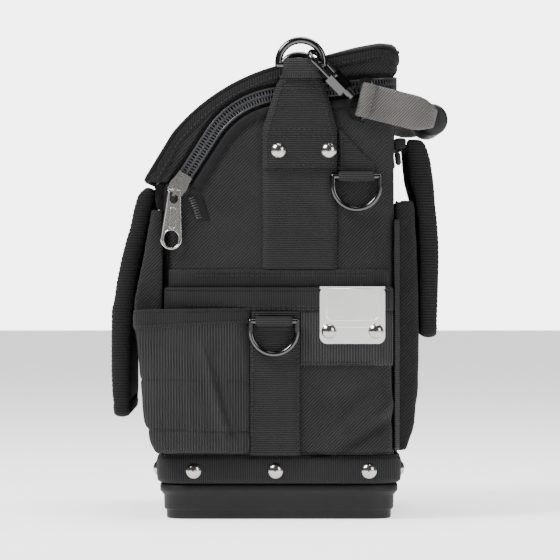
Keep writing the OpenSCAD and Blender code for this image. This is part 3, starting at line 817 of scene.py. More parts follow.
def zip_tail():
    """Loose end of the zip below the slider: a short flap of tape with its last teeth."""
    lo, hi = ends("zip_tails")
    middle = (lo + hi) / 2
    x = hi[0] + 0.1
    line = along([(x, middle[1] - 3.5, hi[2] - 1), (x, middle[1] - 1.5, middle[2] + 3),
                  (x, middle[1] + 2.5, lo[2] + 1)], 1.9)
    teeth = []
    for a, b in zip(line[:-1], line[1:]):
        teeth.append(bead((a + b) / 2, np.cross(b - a, (1, 0, 0)), (1, 0, 0), 2.3, 0.8))
    u, v = grid(8, 6)
    y = lo[1] + 1.5 + (hi[1] - lo[1] - 4) * u + 5 * (1 - v)
    cloth = sheet(surface(hi[0], y, lo[2] + (hi[2] - lo[2]) * v), 0.7)
    add_piece("zip_tail_cloth", both([cloth]), ZIP_TAPE, ("zip_tails",))
    add_piece("zip_tail_teeth", both(teeth), COIL)


def zip_parts():
    zip_ribbon("body_zip_cloth", -13.8, -0.6, -PANEL_T, 0.7, ZIP_TAPE, "bag", ("body_zip_tape",))
    zip_ribbon("lid_zip_cloth", 0.6, 13.8, -PANEL_T, 0.7, ZIP_TAPE, "lid", ("lid_zip_tape",))
    zip_ribbon("zip_piping", -13.6, -7.4, 0.9, 0.9, PIPING, "bag", swell_by=0.5)
    zip_teeth("body_zip_teeth", -1, "bag", "body_zip_coil")
    zip_teeth("lid_zip_teeth", 1, "lid", "lid_zip_coil")
    # Dark cord along the piping's lower edge: painted shadow of the piping's edge on the side panel.
    add_piece("zip_piping_painted_shadow", tube(beside_zip(along(ZIP, 3), -13.7, 0.35), 0.7, 6), ZIP_TAPE)
    zip_tail()


# ---------------------------------------------------------------- lid


LID = Probe("lid_shell")
LID_FRONT = low("lid_shell")[1]


def lid_top(y):
    samples = np.arange(LID_FRONT + 0.15, REAR - 0.2, 0.8)
    return np.interp(y, samples, [LID.down(0, s) for s in samples])


def lid_bottom(y):
    samples = np.arange(LID_FRONT + 0.3, SIDE_Y - 1, 1.0)
    return extended(y, samples, np.array([LID.up(ZIP_X, s, HEM - 30) for s in samples]))


def lid_crown():
    """Top cloth of the lid, softly domed towards the rear."""
    start = np.linspace(LID_FRONT + 0.2, REAR - 0.3, 260)
    outline = along(np.column_stack([start, lid_top(start)]), 2.5)
    y = outline[:, 0]
    corner = np.sqrt(np.maximum(CORNER ** 2 - (y - SIDE_Y) ** 2, 0))
    half = np.where(y < SIDE_Y, HW, REAR_STRAIGHT + corner) - 0.4
    spread = math.pi / 2 * 0.92
    across = np.sin(np.linspace(-1, 1, 57) * spread) / math.sin(spread)
    p = surface(half[:, None] * across, (y + rear_push(y))[:, None], outline[:, 1:])
    rise = np.clip((y + 30) / 80, 0, 1)
    crown = 0.2 + 3.4 * rise * rise
    lift = crown[:, None] * (1 - across ** 4)
    lift += 0.6 * ripple(p[..., 0], p[..., 1], 8, 120) * (1 - across ** 6)
    lift -= 1.3 * np.abs(across) ** 30
    add_piece("lid_top_cloth", sheet(p, 3.2, lift, flip=True), LID_CLOTH, ("lid_shell",), "lid")


def lid_sides():
    """Side cloth of the lid, its edge piping and its bound edge, all along one plan line."""
    s = rail_of(np.linspace(LID_FRONT + 1.0, SIDE_Y, 110))
    s = np.concatenate([s, np.linspace(REAR_STRAIGHT + REAR_QUARTER, 0, 42)[1:]])
    s = np.concatenate([s, -s[::-1][1:]])
    x, y = rear_rail(s, 0.0)
    top = lid_top(y)
    z0 = lid_bottom(y)
    z1 = np.maximum(top - 1.2, z0 + 0.3)
    v = np.linspace(0, 1, 13)
    p = surface(x[:, None], y[:, None], z0[:, None] + (z1 - z0)[:, None] * v)
    lift = 0.3 * ripple(s[:, None], p[..., 2], 9, 50) - 0.2
    add_piece("lid_side_cloth", sheet(p, PANEL_T - 0.2, lift), TWILL, body="lid")

    edge = np.stack([x * 0.997, y, top - 0.9], axis=1)
    add_piece("lid_edge_piping", tube(along(edge, 3), 1.25), PIPING, body="lid")

    keep = slice(6, len(s) - 6)
    lid_binding(s[keep], top[keep], z0[keep])


def lid_binding(s, top, bottom):
    """Tape that binds the lid's upper edge, with its row of stitches."""
    slope = np.clip(np.gradient(top, s), -2, 2)
    stretch = np.where(np.abs(s) < REAR_STRAIGHT + 4, 1.0, np.sqrt(1 + slope ** 2))
    z = top[:, None] - np.linspace(9.6, 2.0, 7) * stretch[:, None]
    x, y = rear_rail(s, 0.75)
    p = surface(x[:, None], y[:, None], np.maximum(z, bottom[:, None] + 0.4))
    bulge = 0.35 * np.sin(np.pi * np.linspace(0, 1, 7))[None, :]
    add_piece("lid_binding_tape", cloth_sheet(p, 0.8, bulge), UV_TAPE, ("lid_binding",), "lid")

    row = p[:, 2]
    on_side = np.abs(s) > REAR_STRAIGHT + 8
    out = np.stack([np.sign(x) * on_side, 1.0 * ~on_side, 0 * x], axis=1)
    line = along(row, STITCH)
    ups = along(np.concatenate([row, out], axis=1), STITCH)[:, 3:]
    parts = []
    for i, (a, b) in enumerate(zip(line[:-1], line[1:])):
        up = ups[min(i, len(ups) - 1)]
        if np.linalg.norm(up) >= 0.1:
            parts.append(bead((a + b) / 2 + up * 0.15, b - a, up, 1.2, 0.4))
    add_piece("lid_binding_stitches", join(parts), THREAD, body="lid")


# ---------------------------------------------------------------- side pockets and webbing


POCKET_X = high("side_pocket_right")[0]
POCKET_Y = (low("side_pocket_right")[1], high("side_pocket_right")[1])
POCKET_Z = (low("side_pocket_right")[2], high("side_pocket_right")[2])
BIND_Z = low("pocket_bindings")[2]
POCKET_R = 14
SEAM_END = 63


def pocket_grid(nu, z0, z1, rows, off, y0=None):
    """Grid of points on the side pocket's face between two heights, from a depth y0 to the rear."""
    def rail(reach):
        return corner_rail(reach, POCKET_X, *POCKET_Y, POCKET_R, off)[:2]

    reach = np.linspace(0.0, 1.0, 600)
    first = 0.03 if y0 is None else np.interp(y0, rail(reach)[1], reach)
    x, y = rail(np.linspace(first, 0.97, nu + 1))
    return surface(x[:, None], y[:, None], np.linspace(z0, z1, rows + 1))


def pocket_line(nu, z, off, y0=None):
    return pocket_grid(nu, z, z, 1, off, y0)[:, 0]


def pocket_folds(y, z):
    """Slack cloth and folds in the lower rear part of the pocket."""
    lower = np.clip((104 - z) / 12, 0, 1) * np.clip((y - 14) / 8, 0, 1)
    lift = 0.9 + 0.5 * ripple(y, z, 12, 44)
    lift += ridge(y, z, (80, 84), (28, 50), 5.0, 3.6) - ridge(y, z, (82, 72), (36, 44), 4.0, 2.6)
    lift += ridge(y, z, (60, 100), (30, 80), 7, 1.4) - ridge(y, z, (70, 96), (38, 66), 4, 1.3)
    return lower * lift


def side_pockets():
    bottom = POCKET_Z[0] + 0.5
    p = pocket_grid(90, bottom, POCKET_Z[1] - 0.4, 60, 0.0)
    y, z = p[..., 1], p[..., 2]
    floor_line = pocket_line(40, bottom, 0.0)
    shelf = np.stack([floor_line, floor_line - (POCKET_X - HW + 1.5, 0, 0)], axis=1)
    for side, sign in SIDES:
        lift = 0.25 * ripple(y, z, 11 + sign, 60) - 0.3 + pocket_folds(y, z)
        lift -= 1.2 * np.clip((POCKET_Z[0] + 5 - z) / 5, 0, 1) ** 2
        parts = [sheet(p, 1.8, lift), sheet(shelf, 1.2, flip=True)]
        add_side("side_pocket", "cloth", side, parts, TWILL)


def pocket_edges():
    """Tape bound over the side pocket's mouth, inside and outside."""
    p = pocket_grid(80, BIND_Z, POCKET_Z[1], 6, 1.0)
    outer = sheet(p, 1.0, 0.25 * np.sin(np.pi * np.linspace(0, 1, 7))[None, :])
    lip = tube(pocket_line(80, POCKET_Z[1], 0.0), 1.35)
    inner = sheet(pocket_grid(80, BIND_Z + 1, POCKET_Z[1], 4, -1.9), 0.9)
    add_piece("pocket_binding_tape", both([outer, lip, inner]), TAPE, ("pocket_bindings",))
    rows = []
    for z in (BIND_Z + 1.4, BIND_Z + 3.6):
        line = pocket_line(60, z, 1.25)
        rows += stitches(line[(line[:, 1] > -66) & (line[:, 1] < SEAM_END)], (1, 0, 0))
    sew("pocket_binding_stitches", rows)


def clip_backing():
    """Ribbed webbing behind the tape clip."""
    rear = high("side_webbings")[1]
    bottom = low("tape_clip")[2] - 15
    panel = pocket_grid(66, bottom, BIND_Z, 10, 1.1, rear + 0.4)
    ribs = 0.3 * np.cos(2 * math.pi * panel[..., 1] / 2.3)
    add_piece("clip_backing_webbing", both([sheet(panel, 1.1, ribs)]), POCKET_WEB)
    line = pocket_line(40, bottom + 1.8, 1.3, rear + 1)
    sew("clip_backing_stitches", stitches(line[line[:, 1] < SEAM_END], (1, 0, 0)))


def rib_strap(y0, y1, z0, z1, x, t, left=None, right=None):
    """Flat webbing on the right side whose ribs run across it, as real ridges."""
    rib = 1.5
    z = z0 + (z1 - z0) * np.linspace(0, 1, int((z1 - z0) / rib * 4) + 1)
    u = np.linspace(0, 1, 15)[:, None]
    a = y0 if left is None else np.interp(z, *left)
    b = y1 if right is None else np.interp(z, *right)
    lift = 0.28 * np.cos(2 * math.pi * z / rib) - 0.25 * np.abs(2 * u - 1) ** 8
    return sheet(surface(x, a + (b - a) * u, z), t, lift)


def webbings():
    lo, hi = ends("side_webbings")
    band = rib_strap(lo[1], hi[1], lo[2], hi[2], hi[0] - 0.2, 1.7)
    add_piece("side_webbing_straps", both([band]), STRAP, ("side_webbings",))
    edges = []
    for y in (lo[1] + 1.6, hi[1] - 1.6):
        edges += side_row(hi[0] + 0.05, (y, lo[2] + 3), (y, hi[2] - 8))
    sew("side_webbing_stitches", edges)

    lo, hi = ends("side_bands")
    x, y, _, _ = body_rail(np.linspace(0.075, 0.925, 91), 1.9)
    p = surface(x[:, None], y[:, None], np.linspace(lo[2], hi[2], 9))
    tape = sheet(p, 1.8, 0.3 * ripple(p[..., 1], p[..., 2], 3, 50))
    add_piece("side_band_tape", both([tape]), TAPE, ("side_bands",))
    rows = []
    for z in (hi[2] - 2, hi[2] - 4.6):
        rows += side_row(hi[0] + 0.05, (lo[1] + 20, z), (hi[1] - 18, z))
    sew("side_band_stitches", rows)


ROLL_R = 4.5


def ring_straps():
    """Wide webbing that narrows over the shoulders and is folded round the bar of the strap ring."""
    lo, hi = ends("ring_strap_right")
    ring_y = sum(ends("strap_ring_right"))[1] / 2
    rivet_top = high("strap_rivets")[2]
    bar_z = hi[2] - ROLL_R
    bar_x = hi[0] - ROLL_R
    narrow = 12.0
    shoulder = 16.4
    face = HW + 5.4
    heights = (lo[2], bar_z - 43.8, bar_z - 12.8, bar_z - 6.8, hi[2])
    near = [heights, (lo[1], lo[1], ring_y - shoulder, ring_y - narrow, ring_y - narrow)]
    far = [heights, (hi[1], hi[1], ring_y + shoulder, ring_y + narrow, ring_y + narrow)]
    top = bar_z - 9.0
    lower = rib_strap(lo[1], hi[1], lo[2], rivet_top - 10, HW + 2.2, 1.9)
    upper = rib_strap(lo[1], hi[1], rivet_top - 17, top + 0.5, face, 3.6, near, far)

    u = np.linspace(-1, 1, 15)[:, None]
    turn = np.linspace(-0.5 * math.pi, 0.95 * math.pi, 22)
    radius = ROLL_R - 0.25 * np.abs(u) ** 8
    p = surface(bar_x + radius * np.cos(turn), ring_y + narrow * u, bar_z + radius * np.sin(turn))
    roll = sheet(p, 1.9, 0.15 * np.cos(turn * 12)[None, :])
    v = np.linspace(0, 1, 12)
    wide = np.interp(top - 1 + 9 * v, *far) - ring_y
    lean = face + (hi[0] - 0.3 - face) * np.sin(v * math.pi / 2)
    neck = sheet(surface(lean, ring_y + wide * u, top - 1 + (bar_z + 1 - top) * v), 2.6)
    for side, _ in SIDES:
        add_side("ring_strap", "webbing", side, [lower, upper, roll, neck], STRAP)

    heights = (rivet_top - 15, rivet_top + 4.5, rivet_top + 9.5, rivet_top + 24, top - 7, top - 2.5)
    edges = [(np.interp(z, *near) + 3, np.interp(z, *far) - 3, z) for z in heights]
    rows = []
    for a, b, z in edges:
        rows += side_row(face + 0.2, (a, z), (b, z))
    for k in (0, 1):
        rows += side_row(face + 0.2, *[(edges[i][k], edges[i][2]) for i in (0, 1, -1)])
    sew("ring_strap_stitches", rows)


def ring_bar(node):
    """Middle depth of a ring, and the place of its straight bar."""
    lo, hi = ends(node)
    return (lo[1] + hi[1]) / 2, (lo[0] + hi[0]) / 2, hi[2] - (hi[0] - lo[0]) / 2


def ring_tabs():
    middle, bar_x, bar_z = ring_bar("upper_dring_right")
    y0, y1 = middle - 12.2, middle + 12.2
    left = [(bar_z, bar_z + 33), (y0, y0)]
    right = [(bar_z, bar_z + 9, bar_z + 14, bar_z + 32), (y1, y1, y1 - 6, y0 + 1.5)]
    parts = [rib_strap(y0, y1, bar_z, bar_z + 32, HW + 2.1, 1.9, left, right), bar_wrap(bar_x, bar_z, y0, y1)]
    rows = side_row(HW + 2.35, (y0 + 2, bar_z + 6), (y1 - 2, bar_z + 6), (y1 - 2.5, bar_z + 9),
                    (y1 - 8, bar_z + 13.5), (y0 + 2, bar_z + 28.5), (y0 + 2, bar_z + 6))
    middle, bar_x, bar_z = ring_bar("lower_dring_right")
    y0, y1 = middle - 12.6, middle + 12.6
    face = high("side_webbings")[0]
    parts.append(rib_strap(y0, y1, bar_z - 6, BIND_Z - 0.2, face + 1.3, 1.3))
    parts.append(bar_wrap(bar_x, bar_z, y0, y1))
    rows += side_row(face + 1.6, (y0 + 1.5, BIND_Z - 2.2), (y1 - 1.5, BIND_Z - 2.2))
    add_piece("ring_tab_webbing", both(parts), STRAP, ("accessory_tabs",))
    sew("ring_tab_stitches", rows)


def bar_wrap(x, z, y0, y1):
    """Webbing folded round the bar of a ring."""
    turn = np.linspace(-math.pi, math.pi, 25)
    u = np.linspace(-1, 1, 13)[:, None]
    radius = 3.45 - 0.3 * np.abs(u) ** 8
    y = (y0 + y1) / 2 + (y1 - y0) / 2 * u
    return sheet(surface(x + radius * np.cos(turn), y, z + radius * np.sin(turn)), 1.35, soft=0.2)


# ---------------------------------------------------------------- tool pockets


UPPER_SEAM = 94.0
LOWER_SEAM = 60.0
POCKET_STEP = 0.45


def tool_pocket_grid():
    """Face of the right tool pocket, its heights, and how far forward each column reaches."""
    lo, hi = ends("tool_pocket_right")
    bottom, top = lo[2] - 3, hi[2] + 1.5
    plan = along([(POCKET_X + 0.9, hi[1]), (POCKET_X + 3.6, -34), (hi[0] - 1.2, -58), (hi[0], -66),
                  (hi[0], lo[1] + 8), (hi[0] - 0.6, lo[1] + 3.5), (hi[0] - 2.5, lo[1] + 0.9),
                  (hi[0] - 6, lo[1]), (lo[0] + 0.4, lo[1])], POCKET_STEP)
    v = np.linspace(0, 1, 72)
    z = bottom + (top - bottom) * v
    lean = [(bottom, lo[2], lo[2] + 19, 137, top), (15.5, 14, 7.5, 0, 0.2)]
    slant = lo[1] + np.interp(z, *lean)
    near = np.interp(z, [bottom, bottom + 3, bottom + 9, LOWER_SEAM, top], [0.35, 0.75, 0.96, 1.0, 1.0])
    reach = (hi[1] - plan[:, 1:]) / (hi[1] - lo[1])
    wide = np.clip(plan[:, :1] - POCKET_X, -20, 20)
    x = POCKET_X + np.where(wide > 0, wide * near, wide)
    y = hi[1] + (slant - hi[1]) * reach
    drop = 2.0 * reach ** 2 * (v > 0.5) * (v - 0.5)
    return surface(x, y, z - drop), z, reach


def tool_pocket_lift(p, bottom, reach):
    """Ribs, folds, seams and bulges of the tool pocket's webbing."""
    y, z = p[..., 1], p[..., 2]
    ribs = 2 * math.pi / 1.9 * POCKET_STEP * np.arange(len(p))
    lift = 0.34 * np.cos(ribs)[:, None]
    lift = lift + ridge(y, z, (-56, 128), (-36, 46), 3.4, 3.2) - ridge(y, z, (-47, 124), (-29, 50), 3.6, 2.6)
    lift += ridge(y, z, (-70, 60), (-30, 64), 5, 0.9) + 0.5 * ripple(y, z, 5, 42)
    for seam, sink in ((UPPER_SEAM, 0.9), (LOWER_SEAM, 1.1)):
        lift -= sink * np.exp(-(((z - seam - 2 * reach) / 1.1) ** 2))
    for z0, z1, size in ((LOWER_SEAM, UPPER_SEAM, 0.9), (bottom, LOWER_SEAM, 1.3)):
        lift += size * np.sin(np.clip((z - z0) / (z1 - z0), 0, 1) * math.pi)
    return lift - np.clip(1 - reach / 0.05, 0, 1)


def tool_pockets():
    p, z, reach = tool_pocket_grid()
    lift = tool_pocket_lift(p, z[0], reach)
    outward = -grid_normals(p)
    web = sheet(p, 1.3, lift, flip=True)

    rim = p[::3, -1]
    rows = np.linspace(0.0, 1.0, 7)
    tall = 12.5 - 3.5 * (1 - reach[::3])
    q = surface(rim[:, :1], rim[:, 1:2], rim[:, 2:] + 0.6 - tall * (1 - rows))
    bulge = 0.95 + 0.35 * np.sin(np.pi * rows) + 0.3 * ripple(q[..., 1], q[..., 2], 7, 60)
    tape = sheet(q, 1.0, bulge, flip=True)
    lip = tube(rim + (0, 0, 0.6), 1.2)
    n = -grid_normals(p[::3])[:, -1]
    seams = turning_stitches(q[:, 1] + n * 1.35, n)
    i = int(np.argmin(np.abs(z - LOWER_SEAM - 2)))
    seams += turning_stitches(p[:, i] + outward[:, i] * (lift[:, i] + 0.1)[:, None], outward[:, i])
    for side, _ in SIDES:
        add_side("tool_pocket", "webbing", side, [web], POCKET_WEB)
        add_side("tool_pocket", "cuff", side, [tape, lip], TAPE, own_node=False)
        add_side("tool_pocket", "stitches", side, seams, THREAD, own_node=False)


# ---------------------------------------------------------------- flap edges


def flap_edge(node, way):
    """Ribbed tape folded over the sides and the lower edge of a flap, in one run round the corners."""
    probe = Probe(node)
    binding = node + "_binding"
    lo, hi = ends(node)
    half = high(binding)[0]
    z = np.arange(hi[2] - 1.5, lo[2] + 9, -1.6)
    outer = [probe.hit((0, 400 * way, k), (0, -way, 0))[1] for k in z]
    inner = [probe.hit((0, 0, k), (0, way, 0))[1] for k in z]
    tip = lo[2] - 0.6
    turn = 6.0
    right = [(half, k) for k in z if k > tip + turn + 2]
    for t in np.linspace(0, math.pi / 2, 8):
        right.append((half - turn + turn * math.cos(t), tip + turn - turn * math.sin(t)))
    path = along(right + [(-px, pz) for px, pz in right[::-1]], 1.6)
    ahead = directions(path)
    a = np.interp(path[:, 1], z[::-1], outer[::-1])
    b = np.interp(path[:, 1], z[::-1], inner[::-1])
    r = np.abs(a - b) / 2 + 0.6
    corner = np.clip(1 - np.abs(np.abs(path[:, 0]) - half) / 14, 0, 1)
    corner *= np.clip(1 - (path[:, 1] - tip) / 14, 0, 1)
    reach = 9.0 - 3.0 * corner
    arc = np.linspace(0, math.pi, 11)
    ring = [(reach, way * r)]
    ring += [(r * 0.5 * (1 - math.sin(t)), way * r * math.cos(t)) for t in arc]
    ring.append((reach, -way * r))
    columns = []
    for depth, side in ring:
        x = path[:, 0] + ahead[:, 1] * depth
        columns.append(np.stack([x, (a + b) / 2 + side, path[:, 1] - ahead[:, 0] * depth], axis=1))
    p = np.stack(columns, axis=1)
    add_piece(binding + "_tape", cloth_sheet(p, 0.9, flip=way > 0), UV_TAPE, (binding,), node)
    row = p[:, 0] + (0, way * 0.15, 0) - (p[:, 0] - p[:, 1]) * 0.14
    add_piece(binding + "_stitches", join(stitches(row, (0, way, 0))), THREAD, body=node)


# ---------------------------------------------------------------- handle and hardware


HANDLE_SLOPE = math.radians(-14)
STRAP_HALF = 11.75
LOOP_R = 3.6


def handle_strap():
    """Webbing from one hook eye round the grip to the other, with a sewn loop at each end."""
    lo, hi = ends("handle_strap")
    grip = sum(ends("handle_grip")) / 2
    c = math.cos(HANDLE_SLOPE)
    s = math.sin(HANDLE_SLOPE)
    eye_y = lo[1] - STRAP_HALF * s + LOOP_R * c
    eye_z = hi[2] - STRAP_HALF * c + LOOP_R * s

    def place(x, y, z):
        return surface(x, eye_y + y * c - z * s, eye_z + y * s + z * c)

    leg_x = hi[0] - LOOP_R
    reach = (grip[1] - eye_y) * c + (grip[2] - eye_z) * s
    radius = 18.0
    step = 1.4
    right = [(leg_x, 2.4), (leg_x, reach - radius)]
    for t in np.linspace(0, math.pi / 2, 14):
        right.append((leg_x - radius + radius * math.cos(t), reach - radius + radius * math.sin(t)))
    line = along(right + [(-px, py) for px, py in right[::-1]], step)
    v = np.linspace(-1, 1, 15)
    bend = np.clip((line[:, 1:] - reach + 15) / 15, 0, 1)
    z = (STRAP_HALF - 5.0 * bend * bend) * v
    t = directions(line)
    count = np.arange(len(line))[:, None]
    cup = 0.8 * ripple(count * 1.0, z, 3, 70) - 0.7 * np.abs(v) ** 6
    weave = 0.15 * np.cos(2 * math.pi * count * step / 2.8)
    p = place(line[:, :1] + t[:, 1:] * 1.6, line[:, 1:] - t[:, :1] * 1.6, z)
    pieces = [cloth_sheet(p, 3.1, cup * 0.6 + weave)]
    turn = np.linspace(-0.95 * math.pi, 0.95 * math.pi, 22)[:, None]
    for sign in (1, -1):
        q = place(sign * (leg_x + LOOP_R * np.sin(turn)), -LOOP_R * np.cos(turn), STRAP_HALF * v)
        pieces.append(cloth_sheet(q, 1.5, flip=sign > 0))
    uvs = np.concatenate([piece[2] for piece in pieces])
    mesh_parts = (*join([piece[:2] for piece in pieces]), uvs)
    # The strap's light grey colour is painted highlight on black webbing.
    add_piece("handle_strap_webbing", mesh_parts, PAINTED_HIGHLIGHT_WEB, ("handle_strap",), "handle")


def handle_grip():
    """Rolled grip with turned ends and shallow finger grooves."""
    lo, hi = ends("handle_grip")
    middle = (lo + hi) / 2
    half = (hi[0] - lo[0]) / 2
    grip_r = (hi[2] - lo[2]) / 2 - 0.5
    profile = [(0.0, 0.45), (0.6, 0.72), (1.6, 0.9), (3.2, 0.985), (5, 1.0), (9, 1.0), (10, 0.955),
               (11.5, 0.955), (12.5, 1.0)]
    groove = [(-3.4, 1.0), (-2.0, 0.965), (2.0, 0.965), (3.4, 1.0)]
    stations = [(-half + a, b) for a, b in profile]
    for k in range(9):
        centre = -half + 20 + k * (2 * half - 40) / 8
        stations += [(centre + a, b) for a, b in groove]
    stations += [(half - a, b) for a, b in profile[::-1]]
    angle = np.arange(40) * 2 * math.pi / 40
    rings = []
    for x, scale in stations:
        r = grip_r * scale
        rings.append(surface(x, middle[1] + r * np.cos(angle), middle[2] + r * np.sin(angle)))
    verts, faces = loft(rings)
    faces = [tuple(reversed(f)) for f in faces]
    add_piece("handle_grip_rubber", (verts, faces), RUBBER, ("handle_grip",), "handle")


def paint(material, bevel, *nodes):
    """Finishes CAD nodes whose shape is right."""
    for node in nodes:
        piece = NODES[node]
        piece.data.materials.clear()
        piece.data.materials.append(material)
        if bevel:
            modifier = piece.modifiers.new("edge", "BEVEL")
            modifier.width = bevel * MM
            modifier.segments = 3
            modifier.limit_method = "ANGLE"
            modifier.angle_limit = math.radians(40)


def hardware():
    paint(NICKEL, 0, "base_rivets", "strap_rivets", "tape_clip_rivets", "front_flap_snap")
    paint(NICKEL, 0.35, "zip_slider", "zip_pull")
    paint(BRIGHT, 0.3, "tape_clip")
    for side, _ in SIDES:
        rings = [f"{ring}_{side}" for ring in ("strap_ring", "upper_dring", "lower_dring", "hook_bolt")]
        paint(GUNMETAL, 0, *rings)
    paint(GUNMETAL, 0.5, "snap_hooks")
    paint(GUNMETAL, 1.1, "hook_eyes")
    paint(BOARD, 0.4, "floor_board", "rear_stiffener")
    paint(RUBBER, 0.5, "front_flap_badge")
    clip_marks()
    pull_rim()
    badge_rim()


def rounded_line(y0, y1, z0, z1, r, step=1.0):
    """Rounded rectangle as a closed line of (y, z)."""
    corners = [(y1 - r, z1 - r, 0), (y0 + r, z1 - r, 90), (y0 + r, z0 + r, 180), (y1 - r, z0 + r, 270)]
    line = []
    for cy, cz, start in corners:
        for k in range(7):
            angle = math.radians(start + 15 * k)
            line.append((cy + r * math.cos(angle), cz + r * math.sin(angle)))
    return along(line + line[:1], step)


def clip_marks():
    """Pressed lines on the tape clip: a U-shaped panel and a bar above the rivets."""
    lo, hi = ends("tape_clip")
    face = hi[0] - 0.12
    line = rounded_line(lo[1] + 4.5, hi[1] - 4.5, lo[2] + 16, hi[2] + 12, 4)
    line = line[line[:, 1] < hi[2] - 1]
    order = np.argmax(np.linalg.norm(np.diff(line, axis=0), axis=1))
    line = np.roll(line, -(order + 1), axis=0)
    panel = np.column_stack([np.full(len(line), face), line])
    bar = [(face, y, lo[2] + 11.5) for y in np.linspace(lo[1] + 11, hi[1] - 11, 24)]
    add_piece("tape_clip_marks", join([tube(panel, 0.42), tube(bar, 0.42)]), BRIGHT)


PULL_LEAN = math.radians(3.8)
PULL_TIP_R = 7.4


def pull_rim():
    """Raised edge of the zip pull and of the hole in its end."""
    lo, hi = ends("zip_pull")
    tip = np.array([(lo[1] + hi[1]) / 2, lo[2] + PULL_TIP_R])
    reach = hi[2] - 0.8 - tip[1]
    down = np.array([-math.sin(PULL_LEAN), -math.cos(PULL_LEAN)])
    side = np.array([math.cos(PULL_LEAN), -math.sin(PULL_LEAN)])

    def place(points):
        spots = np.array([tip + (x - reach) * down + y * side for x, y in points])
        return surface(hi[0] - 0.1, spots[:, 0], spots[:, 1])

    rim_r = PULL_TIP_R - 0.7
    turns = np.linspace(-math.pi / 2, math.pi / 2, 20)
    edge = [(1, -3.75)] + [(reach + rim_r * math.cos(t), rim_r * math.sin(t)) for t in turns] + [(1, 3.75)]
    hole = []
    for t in np.linspace(0, 2 * math.pi, 41):
        hole.append((reach + 1.1 * np.sign(math.cos(t)) + 5.2 * math.cos(t), 5.2 * math.sin(t)))
    panel = rounded_line(12.5, reach - 7.2, -2.0, 2.0, 1.4, 0.6)
    parts = [tube(place(along(line, 0.8)), size) for line, size in ((edge, 0.7), (hole, 0.45), (panel, 0.28))]
    add_piece("zip_pull_rim", join(parts), NICKEL, body="zip_pull")


def badge_rim():
    lo, hi = ends("front_flap_badge")
    line = rounded_line(lo[0] + 2, hi[0] - 2, lo[2] + 2, hi[2] - 2, 3, 1.5)
    rim = surface(line[:, 0], lo[1] + 0.1, line[:, 1])
    add_piece("front_badge_rim", tube(rim, 0.6), RUBBER, body="front_flap")


# ---------------------------------------------------------------- other soft parts


def flap_fold():
    """Rolled cloth along the line the front flap turns on, and the wall cloth behind it."""
    hinge = next(j for j in frame["joints"] if j["name"] == "front_flap_hinge")["pos_m"]
    hinge_y = hinge[1] / MM
    half = high("front_flap")[0]
    line = [(x, hinge_y, hinge[2] / MM) for x in np.linspace(-half, half, 60)]
    add_piece("front_flap_fold", tube(line, 4.7, 18), TWILL, body="front_flap")
    wall = -FRONT + 0.4
    outline = [(wall, HEM - 20), (hinge_y + 5.8, HEM - 18), (hinge_y + 4.8, HEM - 12),
               (hinge_y + 4.9, HEM - 5), (hinge_y + 3.7, HEM - 1.6), (wall, HEM - 1)]
    rings = [np.array([(x, y, z) for y, z in outline]) for x in (-half, -half / 2, 0, half / 2, half)]
    add_piece("front_hinge_strip", loft(rings), TWILL, smooth=False)


def cord_ends():
    """Moulded ends of the cords that hang behind the rear panel."""
    top = low("rear_flap_yoke")[2] + 2
    x = HW - CORNER - 6
    cord = tube([(x, REAR + 0.6, top), (x, REAR + 1.4, top - 4), (x, REAR + 2.2, top - 7)], 0.7)
    end = bead((x, REAR + 2.3, top - 8.5), (0, 0.12, -1), (1, 0, 0), 4.6, 2.3, 1.0)
    add_piece("rear_cord_ends", both([cord, end]), RUBBER)


def soft_parts():
    soft_node("front_pocket", 1.8, TWILL, seed=2)
    soft_node("rear_pocket", 1.8, TWILL, seed=4)
    soft_node("rear_bindings", 1.3, STRAP, wrinkle=0.15)
    soft_node("centre_divider", 3.0, TWILL, seed=6, wrinkle=0.4)
    soft_node("divider_tool_loops", 1.1, POCKET_WEB, wrinkle=0.1, rounding=1)
    soft_node("front_flap_yoke", 2.0, STRAP, wrinkle=0.2)
    soft_node("rear_flap_yoke", 2.0, STRAP, wrinkle=0.2)
    # The loop patch's dark colour is partly painted shade from the front flap above it.
    soft_node("front_loop_patch", 0.8, LOOPS_AND_SHADE, wrinkle=0.1, rounding=0)
    soft_node("front_hook_patch", 0.7, LOOPS_AND_SHADE, "front_flap", wrinkle=0.1, rounding=0)


base()
bottom_band()
side_panels()
end_panels()
zip_parts()
lid_crown()
lid_sides()
side_pockets()
pocket_edges()
clip_backing()
webbings()
ring_straps()
ring_tabs()
tool_pockets()
flap_edge("front_flap", -1)
flap_edge("rear_flap", 1)
flap_fold()
cord_ends()
handle_strap()
handle_grip()
hardware()
soft_parts()


# ---------------------------------------------------------------- floor, light and camera


WORLD_LIGHT = 0.12
WORLD_SEEN = 5.0
FLOOR_GLOW = 1.3
FLOOR_HALF = 6


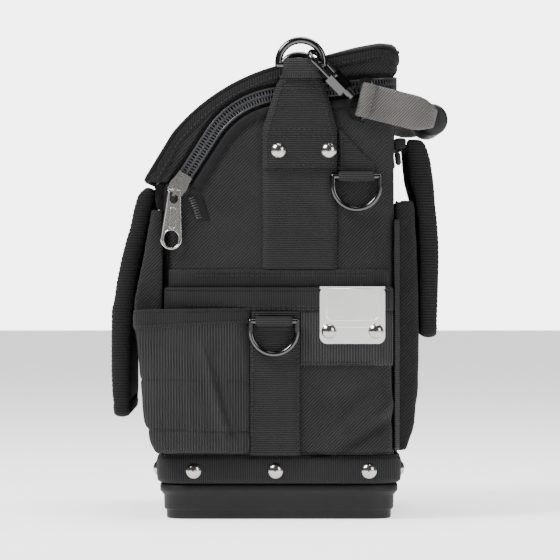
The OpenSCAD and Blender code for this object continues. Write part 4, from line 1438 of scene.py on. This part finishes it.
def floor():
    h = FLOOR_HALF
    mesh = bpy.data.meshes.new("floor")
    mesh.from_pydata([(-h, -h, 0), (h, -h, 0), (h, h, 0), (-h, h, 0)], [], [(0, 1, 2, 3)])
    piece = bpy.data.objects.new("floor", mesh)
    bpy.context.scene.collection.objects.link(piece)
    g = Graph("floor")
    white = (0.96, 0.96, 0.96)
    g.put(Base_Color=white, Roughness=0.5, Specular_IOR_Level=0.3)
    g.put(Emission_Color=white, Emission_Strength=FLOOR_GLOW)
    mesh.materials.append(g.material)


def area_light(name, place, size, power):
    """Soft light that points at the middle of the bag."""
    data = bpy.data.lights.new(name, "AREA")
    data.shape = "RECTANGLE"
    data.size, data.size_y = size
    data.energy = power
    lamp = bpy.data.objects.new(name, data)
    bpy.context.scene.collection.objects.link(lamp)
    lamp.location = place
    aim = Vector((0.0, 0.0, 0.16)) - Vector(place)
    lamp.rotation_euler = aim.to_track_quat("-Z", "Y").to_euler()


def backdrop():
    """Pale surroundings that look brighter to the camera than the light they give."""
    world = bpy.data.worlds.new("studio")
    bpy.context.scene.world = world
    world.use_nodes = True
    nodes, links = world.node_tree.nodes, world.node_tree.links
    background = nodes["Background"]
    background.inputs["Color"].default_value = (1.0, 1.0, 1.0, 1.0)
    seen = nodes.new("ShaderNodeLightPath")
    strength = nodes.new("ShaderNodeMath")
    strength.operation = "MULTIPLY_ADD"
    links.new(seen.outputs["Is Camera Ray"], strength.inputs[0])
    strength.inputs[1].default_value = WORLD_SEEN
    strength.inputs[2].default_value = WORLD_LIGHT
    links.new(strength.outputs[0], background.inputs["Strength"])


def camera():
    """Looks along -X, a little above the middle of the bag, from nearly 3 m."""
    data = bpy.data.cameras.new("camera")
    data.sensor_width = 36
    distance = 2.9
    frame_width = 0.381
    data.lens = data.sensor_width * distance / frame_width
    eye = bpy.data.objects.new("camera", data)
    bpy.context.scene.collection.objects.link(eye)
    near = POCKET_X * MM
    middle_y = -0.0007
    middle_z = (CAD_BOX[0].z + CAD_BOX[1].z) / 2
    eye.location = (near + distance, middle_y, middle_z + 0.026)
    aim = Vector((near, middle_y, middle_z - 0.001))
    eye.rotation_euler = (aim - eye.location).to_track_quat("-Z", "Y").to_euler()
    bpy.context.scene.camera = eye


floor()
backdrop()
area_light("key", (0.7, -1.1, 1.5), (0.7, 0.7), 62)
area_light("side", (1.2, 1.2, 0.7), (0.5, 0.9), 14)
area_light("top", (-0.2, 0.2, 1.6), (1.2, 1.2), 36)
camera()
